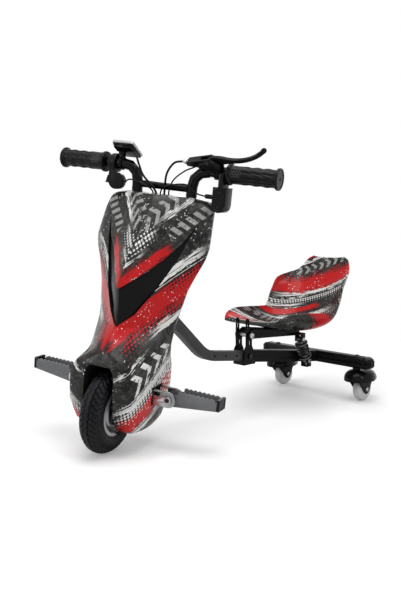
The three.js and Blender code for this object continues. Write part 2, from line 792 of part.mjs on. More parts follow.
function fairingShell() {
  const outer = solidOf(fairingLoft(0, 0));
  const cavity = cut(fairingLoft(fairingWall, cavityDepth, insideRing, insideRows), tunnel(fairingWall));
  const batteryShelf = shelf(batteryWidth * 0.8, batteryFront + batteryDepth / 4, batteryBottom);
  const controllerShelf = shelf(controllerWidth * 0.8, controllerFront + controllerDepth, controllerBottom);
  const withinWall = fairingLoft(fairingWall * 0.8, (recessRise + cavityDepth) / 2, insideRing, insideRows);
  const trays = common(join(batteryShelf, controllerShelf), withinWall);
  const recess = cut(insertPrism(0), fairingLoft(recessDepth, recessRise));
  const shell = cut(outer, cavity, tunnel(0), recess, spineGroove()).add(trays);
  const riserHole = rod(riserRadius + runningGap, fairingHeight / 4, 'z', vec(riserHalfSpan, barSetback, fairingTop));
  const cableHole = box(spineWidth * 3.2, spineWidth * 1.5, fairingWall * 12,
    vec(0, barSetback - crossbarRadius, fairingTop));
  const pegHole = box(fairingHalfWidth / 2, pegWidth + 4 * pegBracketPlate, pegRootHeight + 2 * pegBracketPlate,
    vec(fairingHalfWidth * 0.62, pegPinY, pegPinZ));
  const axleHole = rod(nutRadius + runningGap, 2 * fairingHalfWidth / 1.9, 'x', hub);
  const tubeDoor = box(fairingHalfWidth, fairingDepth / 2, headLength + 4 * stemRadius,
    vec(0, axisPoint(headBottom + headLength / 2).y + headRadius + fairingDepth / 4, headBottom + headLength / 2 - stemRadius));
  return cut(shell, riserHole, flipped(riserHole), cableHole, pegHole, flipped(pegHole), axleHole, tubeDoor);
}

function insert() {
  const body = cut(fairingLoft(recessDepth - seatGap - insertThickness, recessRise), fairingLoft(recessDepth - seatGap, recessRise));
  return common(body, insertPrism(seatGap));
}

function battery() {
  return box(batteryWidth, batteryDepth, batteryHeight,
    vec(0, batteryFront + batteryDepth / 2, batteryBottom + batteryHeight / 2));
}

function controller() {
  return box(controllerWidth, controllerDepth, controllerHeight,
    vec(0, controllerFront + controllerDepth / 2, controllerBottom + controllerHeight / 2));
}

// Foot pegs fold up about a pin that runs fore and aft
function pegBracket(side) {
  const half = pegRootHeight / 2;
  const nose = 7;
  const points = [[forkOutside + seatGap, pegPinZ - half], [pegPinX, pegPinZ - half]];
  for (let k = 1; k < nose; k += 1) {
    const angle = -quarter + (Math.PI * k) / nose;
    points.push([pegPinX + half * Math.cos(angle), pegPinZ + half * Math.sin(angle)]);
  }
  points.push([pegPinX, pegPinZ + half], [forkOutside + seatGap, pegPinZ + half]);
  const outer = pegWidth / 2 + seatGap + pegBracketPlate;
  const block = frontPlate(points, pegPinY - outer, pegPinY + outer);
  const inner = pegWidth / 2 + seatGap;
  const slotFrom = forkOutside + 3 * pegBracketPlate;
  const slot = box(2 * fairingHalfWidth, 2 * inner, 2 * pegRootHeight, vec(slotFrom + fairingHalfWidth, pegPinY, pegPinZ));
  const pinHole = rod(boreFor(pegPinRadius), 2 * pegWidth, 'y', vec(pegPinX, pegPinY, pegPinZ));
  const window = box(pegRootHeight / 2, 2 * pegWidth, pegRootHeight / 4, vec((slotFrom + pegPinX) / 2, pegPinY, pegPinZ + half / 2));
  return sided(geometryOf(cut(block, slot, pinHole, window)), side);
}

function pegPin(side) {
  const outer = pegWidth / 2 + seatGap + pegBracketPlate;
  const shank = rod(pegPinRadius, 2 * outer + 2 * seatGap, 'y', vec(pegPinX, pegPinY, pegPinZ));
  const headAt = outer + seatGap + pegBracketPlate / 2;
  const headFront = rod(pegPinRadius * 1.7, pegBracketPlate, 'y', vec(pegPinX, pegPinY - headAt, pegPinZ));
  const headBack = rod(pegPinRadius * 1.7, pegBracketPlate, 'y', vec(pegPinX, pegPinY + headAt, pegPinZ), 6);
  return sided(geometryOf(join(shank, headFront, headBack)), side);
}

// Channel of folded plate with a toothed upper edge and a raised end lip
function footPeg(side) {
  const half = pegRootHeight / 2;
  const rootX = pegPinX - half * 0.55;
  const tipX = pegPinX + pegLength;
  const top = pegPinZ + half * 1.35;
  const toothFrom = pegPinX + half * 1.15;
  const pitch = (tipX - 4 * pegWall - toothFrom) / pegTeeth;
  const points = [[rootX, pegPinZ - half * 0.6], [pegPinX, pegPinZ - half * 0.85], [tipX, top - pegTipHeight], [tipX, top]];
  points.push([tipX - pegWall, top]);
  for (let k = pegTeeth; k > 0; k -= 1) {
    const at = toothFrom + pitch * k;
    points.push([at, top - pegWall], [at - pitch * 0.3, top], [at - pitch * 0.7, top]);
  }
  points.push([toothFrom, top - pegWall], [toothFrom, pegPinZ + half * 0.85], [rootX, pegPinZ + half * 0.6]);
  const body = frontPlate(points, pegPinY - pegWidth / 2, pegPinY + pegWidth / 2);
  const trough = frontPlate([
    [rootX - overrun, pegPinZ - half * 0.6 + pegWall], [pegPinX, pegPinZ - half * 0.85 + pegWall],
    [tipX - pegWall, top - pegTipHeight + pegWall], [tipX - pegWall, top + overrun], [rootX - overrun, top + overrun],
  ], pegPinY - pegWidth / 2 + pegWall, pegPinY + pegWidth / 2 - pegWall);
  const endSlot = box(pegWall * 1.4, 2 * pegWidth, pegTipHeight, vec(tipX - pegWall * 2.2, pegPinY, top + pegWall * 2));
  const hole = rod(boreFor(pegPinRadius), 2 * pegWidth, 'y', vec(pegPinX, pegPinY, pegPinZ));
  return sided(geometryOf(cut(body, trough, endSlot, hole)), side);
}

// Brake controls lie in a plane through the bar, tilted up and forward
function inLeverPlane(geometry) {
  const across = vec(1, 0, 0);
  const reach = vec(0, -Math.cos(leverTilt), Math.sin(leverTilt));
  const normal = new THREE.Vector3().crossVectors(across, reach);
  const basis = new THREE.Matrix4().makeBasis(across, reach, normal);
  return geometry.applyMatrix4(basis).translate(0, barSetback, barHeight);
}

// Outline in the lever plane, thick about its middle
function leverPlate(points, thickness) {
  const solid = new THREE.ExtrudeGeometry(outline(points), { depth: thickness, bevelEnabled: false });
  return solid.translate(0, 0, -thickness / 2);
}

function brakeBracket() {
  const ring = tubeRing(barRadius + seatGap + clampWall, boreFor(barRadius), clampWidth, 'x', vec(clampX, 0, 0));
  const inner = clampX - clampWidth / 2;
  const outer = clampX + clampWidth / 2;
  const root = barRadius + seatGap + clampWall / 2;
  const arm = leverPlate([
    [outer, root], [outer, leverPivotReach], [leverPivotX + clampWall, leverPivotReach + 2 * clampWall],
    [barrelX + barrelLength, barrelReach + 2 * clampWall], [barrelX, barrelReach + clampWall],
    [barrelX, barrelReach - clampWall], [inner - clampWidth, root + clampWall], [inner, root],
  ], bracketBlock);
  const slotFloor = barrelReach + clampWall / 2;
  const slotDrop = (leverTipX - leverPivotX) * Math.tan(leverSwing * 1.4);
  const slot = leverPlate([
    [leverPivotX - 4 * clampWall, slotFloor], [leverPivotX, slotFloor], [leverTipX, slotFloor - slotDrop],
    [leverTipX, 2 * leverTipReach], [leverPivotX - 4 * clampWall, 2 * leverTipReach],
  ], leverThickness + 2 * seatGap);
  const pin = rod(shockPinRadius, bracketBlock, 'z', vec(leverPivotX, leverPivotReach, 0));
  const barrelBore = rod(boreFor(barrelRadius), barrelLength * 2, 'x', vec(barrelX, barrelReach, 0));
  return inLeverPlane(geometryOf(cut(join(ring, arm), slot, barrelBore).add(asSolid(pin))));
}

function brakeLever() {
  const blade = new THREE.CubicBezierCurve3(
    vec(leverPivotX, leverPivotReach, 0), vec(leverPivotX + 40 * leverShare, leverPivotReach + 8 * leverShare, 0),
    vec(leverPivotX + 80 * leverShare, leverPivotReach - 6 * leverShare, 0), vec(leverTipX, leverTipReach, 0));
  const count = 12;
  const widthShares = [0.9, 1.15, 1.25, 1.1, 0.8, 0.62, 0.55, 0.52, 0.5, 0.5, 0.52, 0.58, 0.6];
  const upper = [];
  const lower = [];
  for (let k = 0; k <= count; k += 1) {
    const at = blade.getPoint(k / count);
    const run = blade.getTangent(k / count);
    const half = leverThickness * widthShares[k];
    upper.push([at.x - run.y * half, at.y + run.x * half]);
    lower.push([at.x + run.y * half, at.y - run.x * half]);
  }
  const plate = leverPlate([...lower, ...upper.reverse()], leverThickness);
  const ball = new THREE.SphereGeometry(leverThickness * 0.8, 12, 8).translate(leverTipX, leverTipReach, 0);
  const hole = rod(boreFor(shockPinRadius), 2 * bracketBlock, 'z', vec(leverPivotX, leverPivotReach, 0));
  return inLeverPlane(geometryOf(cut(join(plate, ball), hole)));
}

const leverShare = (leverTipX - leverPivotX) / 120;

function barrelAdjuster() {
  const body = rod(barrelRadius, barrelLength, 'x', vec(barrelX - barrelLength / 6, barrelReach, 0));
  const collar = rod(barrelRadius * 1.6, barrelLength / 4, 'x', vec(barrelX - barrelLength / 4, barrelReach, 0), 10);
  const bore = rod(barrelRadius / 2, 2 * barrelLength, 'x', vec(barrelX, barrelReach, 0));
  return inLeverPlane(geometryOf(cut(join(body, collar), bore)));
}

// Cables between the controls and the hole in the top of the fairing; their routes are laid by hand
const cableRadius = 2.6;
const wireRadius = 1.8;
const brakeCableRoute = [
  [52, 157, 674], [34, 150, 668], [17, 152, 644], [10, 160, 615], [8, 165, 590], [8, 166, 566],
];
const brakeWireRoute = [
  [84, 159.2, 663.7], [62, 152, 652], [36, 152, 630], [22, 161, 606], [19, 166, 588], [19, 168, 566],
];
const switchWireRoute = [
  [116.5, 159.9, 600.5], [110, 158.6, 601], [96, 148, 606], [72, 146, 622], [28, 147, 616], [2, 159, 603],
  [-2, 166, 566],
];
const displayWireRoute = [
  [-85, 160, 685], [-80, 160, 684.5], [-71, 156, 677], [-58, 150, 656], [-44, 150, 632], [-20, 160, 606],
  [-12, 166, 588], [-12, 168, 566],
];
const throttleWireRoute = [
  [-102.8, 165, 612], [-98, 163.6, 612], [-90, 151, 615], [-72, 144, 620], [-38, 152, 610], [-22, 163, 596],
  [-21, 168, 566],
];

function cable(route, radius) {
  const curve = smooth(route.map(([x, y, z]) => vec(x, y, z)));
  return sweep(curve, circleShape(radius, cableSides), 3 * (route.length - 1));
}

// Switch pod under the left grip
function switchPod() {
  const ringX = switchX + runningGap;
  const ringWidth = switchWidth / 3;
  const outer = barRadius + seatGap + clampWall;
  const ring = tubeRing(outer, boreFor(barRadius), ringWidth, 'x', vec(ringX, barSetback, barHeight));
  const top = barHeight - switchDrop;
  const bottom = top - switchHeight;
  const half = switchWidth / 2;
  const points = [];
  const podSteps = 6;
  for (let k = 0; k <= podSteps; k += 1) {
    const angle = (Math.PI * k) / podSteps;
    points.push([switchX - half * Math.cos(angle), bottom + half * (1 - Math.sin(angle))]);
  }
  points.push(
    [switchX + half, top], [ringX + ringWidth / 2, top], [ringX + ringWidth / 2, barHeight],
    [ringX - ringWidth / 2, barHeight], [ringX - ringWidth / 2, top], [switchX - half, top],
  );
  const plate = frontPlate(points, barSetback - switchDepth * 0.7, barSetback + switchDepth * 0.3);
  const bossFrom = switchX - half - switchBossLength;
  const boss = rod(switchBossRadius, switchBossLength + half, 'x',
    vec(bossFrom + (switchBossLength + half) / 2, barSetback - switchDepth * 0.45, bottom + half + switchBossRise), 10);
  const body = join(plate, boss);
  const barBore = rod(boreFor(barRadius), 2 * switchWidth, 'x', vec(switchX, barSetback, barHeight));
  const face = barSetback + switchDepth * 0.3;
  const boreDepth = switchDepth / 4 + switchButtonTravel;
  const bores = [0, 1].map((level) => rod(boreFor(switchButtonRadius), 2 * boreDepth, 'y',
    vec(switchX, face, buttonZ(level))));
  return cut(join(ring, body), barBore, ...bores);
}

const buttonZ = (level) => barHeight - switchDrop - switchHeight / 4 - level * 2.8 * switchButtonRadius;

function switchButton(level) {
  const face = barSetback + switchDepth * 0.3;
  const from = face - switchDepth / 4 + seatGap;
  const to = face + switchButtonLift;
  return rod(switchButtonRadius, to - from, 'y', vec(switchX, (from + to) / 2, buttonZ(level)));
}

// Thumb throttle on the right of the bar
function throttleHousing() {
  const innerFace = -throttleX + throttleWidth / 4 + seatGap;
  const drumX = innerFace + throttleDrumWidth / 2;
  const drum = tubeRing(throttleDrumRadius, boreFor(barRadius), throttleDrumWidth, 'x', vec(drumX, barSetback, barHeight), 18);
  const lobeX = innerFace + throttleLobeRadius;
  const lobeY = barSetback - throttleLobeDepth * 0.66;
  const lobe = rod(throttleLobeRadius, throttleLobeDepth, 'y', vec(lobeX, lobeY, barHeight - throttleLobeDrop), 16);
  const neck = box(throttleDrumWidth, throttleLobeDepth, throttleLobeDrop,
    vec(drumX, lobeY, barHeight - throttleLobeDrop / 2));
  const bore = rod(boreFor(barRadius), 3 * throttleWidth, 'x', vec(-throttleX, barSetback, barHeight));
  return cut(join(drum, lobe, neck), bore);
}

function throttleLever() {
  const outer = barRadius + seatGap + clampWall;
  const ringRadius = (outer + throttleDrumRadius) / 2;
  const ring = tubeRing(ringRadius, boreFor(barRadius), throttleWidth / 2, 'x', vec(-throttleX, barSetback, barHeight));
  const points = [
    [barSetback + outer * 0.2, barHeight - outer * 0.8], [barSetback + outer, barHeight - outer * 0.4],
    [barSetback + outer * 1.1, barHeight - throttleReach * 0.6], [barSetback + outer * 0.6, barHeight - throttleReach],
    [barSetback, barHeight - throttleReach], [barSetback + outer * 0.5, barHeight - throttleReach * 0.65],
  ];
  const neck = sidePlate(points, -throttleX - throttleWidth / 4, -throttleX + throttleWidth / 4);
  const padPoints = points.slice(2);
  const pad = sidePlate(padPoints, -throttleX - throttleLeverWidth * 0.7, -throttleX + throttleWidth / 4);
  return join(ring, neck, pad);
}

// Display unit, tilted back towards the rider
function inDisplay(geometry) {
  return geometry.rotateX(-displayTilt).translate(-displayX, barSetback, barHeight + displayRise);
}

function displayHousing() {
  const body = box(displayWidth, displayLength, displayThickness, vec(0, 0, 0));
  const deepEnd = box(displayWidth * 0.9, displayLength * 0.4, displayThickness * 0.8,
    vec(0, -displayLength * 0.25, -displayThickness * 0.6));
  const pocket = box(displayWidth - 2 * pegWall, displayLength - 2 * pegWall, 2 * pegWall, vec(0, 0, displayThickness / 2));
  const shell = geometryOf(cut(join(body, deepEnd), pocket));
  const ringX = -displayX - clampWidth;
  const ring = tubeRing(barRadius + seatGap + clampWall, boreFor(barRadius), clampWidth, 'x', vec(ringX, barSetback, barHeight));
  const neck = box(clampWidth, clampWidth, displayRise, vec(ringX, barSetback, barHeight + displayRise / 2));
  const bore = rod(boreFor(barRadius), 2 * displayWidth, 'x', vec(-displayX, barSetback, barHeight));
  const trimmed = cut(neck, inDisplay(box(2 * displayWidth, 2 * displayLength, displayRise,
    vec(0, 0, displayRise / 2 - displayThickness / 4))));
  return cut(join(inDisplay(shell), ring, trimmed), bore);
}

function displayPlate() {
  const inner = pegWall + seatGap;
  const plate = box(displayWidth - 2 * inner, displayLength - 2 * inner, pegWall - seatGap,
    vec(0, 0, displayThickness / 2 - (pegWall - seatGap) / 2));
  const hole = rod(boreFor(displayButtonRadius), 2 * displayThickness, 'z', vec(0, displayLength / 3.4, 0));
  return inDisplay(geometryOf(cut(plate, hole)));
}

function displayButton() {
  const floor = displayThickness / 2 - pegWall + runningGap;
  const top = displayThickness / 2 + runningGap * 1.5;
  return inDisplay(rod(displayButtonRadius, top - floor, 'z', vec(0, displayLength / 3.4, (top + floor) / 2)));
}

// Bent square tube from the head tube to the sleeve
function mainTube() {
  const start = axisPoint(headBottom + headJoinShare * headLength);
  const slant = start.clone().sub(bend).normalize();
  const bendStart = bend.clone().addScaledVector(slant, bendReach);
  const bendEnd = bend.clone().addScaledVector(along, bendReach);
  const arc = new THREE.QuadraticBezierCurve3(bendStart, bend, bendEnd);
  const arcPoints = arc.getPoints(5);
  const profile = (offset) => {
    const points = [start, ...arcPoints, onTube(tubeEndY)];
    return points.map((point, k) => {
      const before = points[Math.max(k - 1, 0)];
      const after = points[Math.min(k + 1, points.length - 1)];
      const run = after.clone().sub(before).normalize();
      return [point.y + run.z * -offset, point.z + run.y * offset];
    });
  };
  const half = tubeSize / 2;
  const outer = sidePlate([...profile(-half), ...profile(half).reverse()], -half, half);
  const bore = half - tubeWall;
  const inner = sidePlate([...profile(-bore), ...profile(bore).reverse()], -bore, bore);
  const openEnd = box(2 * bore, 4 * overrun, 2 * bore, onTube(tubeEndY));
  const head = onColumn(new THREE.CylinderGeometry(headRadius, headRadius, headLength, bearingSides).rotateX(quarter), headBottom + headLength / 2);
  const column = onColumn(new THREE.CylinderGeometry(headBore, headBore, headLength + overrun, bearingSides).rotateX(quarter), headBottom + headLength / 2);
  const holes = [];
  for (let k = 0; k < holeCount; k += 1) {
    const at = onTube(sleeveMouthY - holePitch * (k + 0.55));
    holes.push(rod(holeRadius, 2 * tubeSize, 'x', at, 8));
  }
  return cut(join(cut(outer, inner, openEnd), head), column, ...holes);
}

// Sleeve, cross-beam and shock lugs as one weldment
function sleeveBox(size, fromY, toY) {
  const start = onTube(fromY);
  const end = onTube(toY);
  const half = size / 2;
  const up = vec(0, -along.z, along.y);
  const corner = (point, sign) => [point.y + up.y * half * sign, point.z + up.z * half * sign];
  return sidePlate([corner(start, -1), corner(end, -1), corner(end, 1), corner(start, 1)], -half, half);
}

function beamOutline(size) {
  const half = size / 2;
  const soft = size / 6;
  const groove = beamGroove;
  return [
    [beamY - half + soft, beamZ - half], [beamY + half - soft, beamZ - half], [beamY + half, beamZ - half + soft],
    [beamY + half, beamZ - groove], [beamY + half - groove, beamZ - groove / 2], [beamY + half - groove, beamZ + groove / 2],
    [beamY + half, beamZ + groove],
    [beamY + half, beamZ + half - soft], [beamY + half - soft, beamZ + half], [beamY - half + soft, beamZ + half],
    [beamY - half, beamZ + half - soft], [beamY - half, beamZ + groove], [beamY - half + groove, beamZ + groove / 2],
    [beamY - half + groove, beamZ - groove / 2], [beamY - half, beamZ - groove], [beamY - half, beamZ - half + soft],
  ];
}

function rearFrame() {
  const bore = tubeSize + 2 * seatGap;
  const sleeve = sleeveBox(sleeveSize, sleeveMouthY, beamY);
  const beam = sidePlate(beamOutline(beamSize), -beamHalfLength, beamHalfLength);
  const inside = sleeveBox(bore, sleeveMouthY - overrun, beamY - 2 * beamSize);
  const lugInner = shockX - shockEyeWidth / 2 - seatGap;
  const lugOuter = shockX + shockEyeWidth / 2 + seatGap;
  const reach = shockEyeRadius * 1.25;
  const lugTop = shockFootZ + shockEyeRadius * 0.6;
  const lugPoints = [
    [shockFootY - reach, shockFootZ - 1.6 * reach], [shockFootY + reach, shockFootZ - 1.6 * reach],
    [shockFootY + reach, lugTop], [shockFootY - reach, lugTop],
  ];
  const floor = box(lugOuter - lugInner + 2 * lugPlate, 2 * reach, lugPlate,
    vec(shockX, shockFootY, shockFootZ - 1.6 * reach + lugPlate / 2));
  const spacerFrom = sleeveSize / 2 - tubeWall / 2;
  const spacer = box(lugInner - spacerFrom, 2 * reach, lugTop - shockFootZ + lugPlate,
    vec((lugInner + spacerFrom) / 2, shockFootY, (lugTop + shockFootZ - lugPlate) / 2));
  const innerLug = sidePlate(lugPoints, lugInner - lugPlate, lugInner);
  const outerLug = sidePlate(lugPoints, lugOuter, lugOuter + lugPlate);
  const pinHole = rod(boreFor(shockPinRadius), shockX, 'x', vec(shockX + overrun, shockFootY, shockFootZ));
  const boltHoles = [];
  for (const side of [-1, 1]) boltHoles.push(rod(boreFor(bracketBoltRadius), sleeveSize / 2, 'x', boltAt(side)));
  const kingpins = [];
  for (const side of [-1, 1]) {
    kingpins.push(rod(boreFor(kingpinRadius), beamSize, 'z', vec(side * casterHalfSpan, beamY, beamZ - beamSize / 2)));
  }
  return cut(join(sleeve, beam, floor, spacer, innerLug, outerLug), inside, pinHole, ...boltHoles, ...kingpins);
}

const bracketBoltRadius = 4;
const boltAt = (side) => onTube(pivotY).setX((side * sleeveSize) / 2);

function bracketBolt(side) {
  const shankFrom = tubeSize / 2 + runningGap;
  const plateOut = sleeveSize / 2 + seatGap + bracketPlate;
  const at = boltAt(1);
  const shank = rod(bracketBoltRadius, plateOut + 2 * seatGap - shankFrom, 'x', vec((shankFrom + plateOut + 2 * seatGap) / 2, at.y, at.z));
  const head = rod(bracketBoltRadius * 1.8, bracketPlate, 'x', vec(plateOut + seatGap + bracketPlate / 2, at.y, at.z), 6);
  return sided(geometryOf(join(shank, head)), side);
}

function beamCap(side) {
  const scaleAt = (share, x) => {
    const soft = Math.sqrt(Math.max(1 - share * share, 0));
    const grow = 0.35 + 0.65 * soft;
    return beamOutline(beamSize + runningGap).map(([y, z]) => vec(x, beamY + (y - beamY) * grow, beamZ + (z - beamZ) * grow));
  };
  const rings = [];
  const steps = 5;
  for (let k = 0; k <= steps; k += 1) {
    const share = k / steps;
    rings.push(scaleAt(share * 0.97, beamHalfLength + seatGap + beamCapLength * share));
  }
  return sided(orientOut(loft(rings)), side);
}

// Upright bracket that clamps the sleeve, rises in front of the seat and carries its pivot
function seatBracket() {
  const inner = sleeveSize / 2 + seatGap;
  const outer = inner + bracketPlate;
  const nose = pivotY - bracketDepth / 2;
  const heel = pivotY + bracketDepth / 2;
  const foot = onTube(pivotY);
  const waist = foot.z + sleeveSize * 0.9;
  const bottom = foot.z - sleeveSize / 2 - seatGap - bracketPlate - bracketDepth * Math.sin(tubeSlope);
  const top = pivotZ + bracketRise;
  const round = bracketDepth / 3;
  const points = [
    [nose - bracketFlare, bottom], [heel + bracketFlare, bottom], [heel + bracketFlare, foot.z], [heel, waist],
    [heel, pivotZ + pivotRadius], [nose + round, pivotZ + 3 * pivotRadius], [nose + round, top - round],
    [nose, top], [nose - round / 2, top], [nose - round, top - round], [nose - round, waist],
    [nose - bracketFlare, foot.z + sleeveSize / 2],
  ];
  const block = sidePlate(points, -outer, outer);
  const channel = sleeveBox(sleeveSize + 2 * seatGap, pivotY - 4 * bracketDepth, pivotY + 4 * bracketDepth);
  const upperHeight = 2 * (top - foot.z);
  const upper = box(2 * inner, 4 * bracketDepth, upperHeight, vec(0, pivotY, foot.z + upperHeight / 2));
  const pivotHole = rod(boreFor(pivotRadius), 4 * outer, 'x', vec(0, pivotY, pivotZ));
  const slotWidth = pivotRadius;
  const highSlot = box(4 * outer, slotWidth, 3 * slotWidth, vec(0, nose, top - 4 * slotWidth));
  const lowSlot = box(4 * outer, slotWidth, 2 * slotWidth, vec(0, pivotY, pivotZ - 4 * slotWidth));
  const boltHole = rod(boreFor(bracketBoltRadius), 4 * outer, 'x', boltAt(1).setX(0));
  return cut(block, channel, upper, pivotHole, highSlot, lowSlot, boltHole);
}

// Bucket seat: stations from the front lip over the base and up the back.
// Shares of length and rise: y and z of the middle, y and z of the edge; half width
const seatStationShares = [
  [0, 0.16, 0.011, 0.165, 0.736], [0.014, 0.19, 0.028, 0.22, 0.77], [0.044, 0.195, 0.064, 0.27, 0.8],
  [0.147, 0.13, 0.161, 0.31, 0.845], [0.299, 0.055, 0.299, 0.305, 0.89], [0.521, 0, 0.543, 0.275, 0.97],
  [0.659, 0.035, 0.62, 0.29, 1], [0.753, 0.16, 0.687, 0.51, 1], [0.825, 0.35, 0.742, 0.69, 0.95],
  [0.892, 0.55, 0.848, 0.76, 0.84], [0.942, 0.73, 0.931, 0.815, 0.72], [0.983, 0.91, 0.992, 0.95, 0.6],
  [1, 0.995, 1.022, 1.03, 0.52],
];
const seatRows = 26;
const seatColumns = 14;
const seatCurl = 2.7;

const seatPlace = (y, z) => vec(0, seatFrontY + y * seatLength, seatBaseZ + z * seatRise);
const seatMiddle = new THREE.CatmullRomCurve3(
  seatStationShares.map(([y, z]) => seatPlace(y, z)), false, 'catmullrom', 0.5);
const seatEdge = new THREE.CatmullRomCurve3(
  seatStationShares.map(([, , y, z, width]) => seatPlace(y, z).setX(width * seatHalfWidth)), false, 'catmullrom', 0.5);

function seatPoint(share, across) {
  const middle = seatMiddle.getPoint(share);
  const edge = seatEdge.getPoint(share);
  const side = Math.abs(across);
  const point = middle.clone().lerp(edge, side ** seatCurl);
  const spread = side * (1 - 0.12 * side ** 6) / 0.88;
  return point.setX(Math.sign(across) * edge.x * Math.min(spread, 1));
}

// A point of the seat, set back from its upper face
function seatFace(share, across, depth) {
  const step = 1 / (4 * seatRows);
  const [before, after] = [Math.max(share - step, 0), Math.min(share + step, 1)];
  const [left, right] = [Math.max(across - step, -1), Math.min(across + step, 1)];
  const along = seatPoint(after, across).sub(seatPoint(before, across));
  const over = seatPoint(share, right).sub(seatPoint(share, left));
  const normal = over.cross(along).normalize();
  return seatPoint(share, across).addScaledVector(normal, -depth);
}

function seatPan() {
  const rings = [];
  for (let row = 0; row <= seatRows; row += 1) {
    const places = [...Array(seatColumns + 1).keys()].map((column) => (2 * column) / seatColumns - 1);
    const inside = places.map((across) => seatFace(row / seatRows, across, 0));
    const outside = places.map((across) => seatFace(row / seatRows, across, seatWall)).reverse();
    rings.push([...inside, ...outside]);
  }
  return orientOut(stripLoft(rings));
}

// Like a loft, but its ends are thin strips and not fans
function stripLoft(rings) {
  const count = rings[0].length;
  const positions = rings.flat().flatMap((point) => [point.x, point.y, point.z]);
  const triangles = [];
  for (let i = 0; i + 1 < rings.length; i += 1) {
    for (let k = 0; k < count; k += 1) {
      const next = (k + 1) % count;
      const [a, b, c, d] = [i * count + k, i * count + next, (i + 1) * count + next, (i + 1) * count + k];
      triangles.push(a, b, c, a, c, d);
    }
  }
  const last = (rings.length - 1) * count;
  for (let k = 0; k + 1 < count / 2; k += 1) {
    const [a, b, c, d] = [k, k + 1, count - 2 - k, count - 1 - k];
    triangles.push(a, c, b, a, d, c);
    triangles.push(last + a, last + b, last + c, last + a, last + c, last + d);
  }
  const geometry = new THREE.BufferGeometry();
  geometry.setAttribute('position', new THREE.Float32BufferAttribute(positions, 3));
  geometry.setIndex(triangles);
  return geometry;
}

// Channel under the pan, hung on the pivot in front and on the shock absorber behind
function seatCarrier() {
  const [frontShares, backShares] = [seatStationShares[4], seatStationShares[5]];
  const place = ([y, z]) => seatPlace(y, z);
  const [fore, aft] = [place(frontShares), place(backShares)];
  const slope = (aft.z - fore.z) / (aft.y - fore.y);
  const level = (y) => fore.z + (y - fore.y) * slope - seatWall * 0.7;
  const nose = pivotY - 2 * pivotRadius;
  const start = seatFrontY + seatWall;
  const plate = sidePlate([
    [start, level(start) - 2 * carrierPlate], [carrierEndY, level(carrierEndY) - 2 * carrierPlate],
    [carrierEndY, level(carrierEndY)], [start, level(start)],
  ], -carrierHalfWidth, carrierHalfWidth);
  const flangeInner = sleeveSize / 2 + 2 * seatGap + bracketPlate;
  const flange = sidePlate([
    [nose, pivotZ - 2 * pivotRadius], [start, level(start) - 2 * carrierFlange],
    [carrierEndY, level(carrierEndY) - carrierFlange], [carrierEndY, level(carrierEndY)], [start, level(start)],
    [pivotY, pivotZ + 2 * pivotRadius], [nose, pivotZ + pivotRadius],
  ], flangeInner, carrierHalfWidth);
  const pivotHole = rod(boreFor(pivotRadius), 4 * carrierHalfWidth, 'x', vec(0, pivotY, pivotZ));
  const lugInner = shockX - shockEyeWidth / 2 - seatGap;
  const lugOuter = shockX + shockEyeWidth / 2 + seatGap;
  const reach = shockEyeRadius * 1.25;
  const shelfTop = level(carrierEndY) - carrierPlate;
  const shelf = box(lugOuter + lugPlate - carrierHalfWidth + overrun, 2 * reach, carrierPlate,
    vec((lugOuter + lugPlate + carrierHalfWidth - overrun) / 2, shockTopY, shelfTop - carrierPlate / 2));
  const lugBottom = shockTopZ - shockEyeRadius * 0.75;
  const lugPoints = [
    [shockTopY - reach, lugBottom], [shockTopY + reach, lugBottom],
    [shockTopY + reach, shelfTop], [shockTopY - reach, shelfTop],
  ];
  const innerLug = sidePlate(lugPoints, lugInner - lugPlate, lugInner);
  const outerLug = sidePlate(lugPoints, lugOuter, lugOuter + lugPlate);
  const pinHole = rod(boreFor(shockPinRadius), shockX, 'x', vec(shockX, shockTopY, shockTopZ));
  const pan = seatPan().translate(0, 0, -seatGap);
  return cut(join(plate, flange, flipped(flange), shelf, innerLug, outerLug), pan, pivotHole, pinHole);
}

function pivotBolt() {
  const half = carrierHalfWidth + seatGap;
  const shank = rod(pivotRadius, 2 * half, 'x', vec(0, pivotY, pivotZ));
  const head = rod(pivotRadius * 1.7, bracketPlate, 'x', vec(half + bracketPlate / 2, pivotY, pivotZ), 6);
  return join(shank, head, flipped(head));
}

// Shock absorber along its own line from the foot to the top pin
const shockFoot = vec(shockX, shockFootY, shockFootZ);
const shockTop = vec(shockX, shockTopY, shockTopZ);
const shockLength = shockTop.distanceTo(shockFoot);
const shockRun = shockTop.clone().sub(shockFoot).normalize();
const springFoot = shockEyeRadius + springSeat * 2.5;
const springHead = shockLength - shockEyeRadius - springSeat * 2.2;

function onShock(geometry) {
  return geometry.applyQuaternion(new THREE.Quaternion().setFromUnitVectors(vec(0, 0, 1), shockRun))
    .translate(shockFoot.x, shockFoot.y, shockFoot.z);
}

function shockBody() {
  const eye = tubeRing(shockEyeRadius, boreFor(shockPinRadius), shockEyeWidth, 'x', vec(0, 0, 0));
  const seat = rod(springRadius + springWire / 2, springSeat, 'z', vec(0, 0, springFoot - seatGap - springSeat / 2), 18);
  const neckFrom = shockEyeRadius - runningGap;
  const tubeTop = springFoot + (springHead - springFoot) * 0.55;
  const cylinder = rod(damperRadius, tubeTop - neckFrom, 'z', vec(0, 0, (tubeTop + neckFrom) / 2));
  const bore = rod(damperRodRadius + runningGap, tubeTop - springFoot + overrun, 'z', vec(0, 0, (tubeTop + springFoot + overrun) / 2));
  return onShock(geometryOf(cut(join(eye, seat, cylinder), bore)));
}

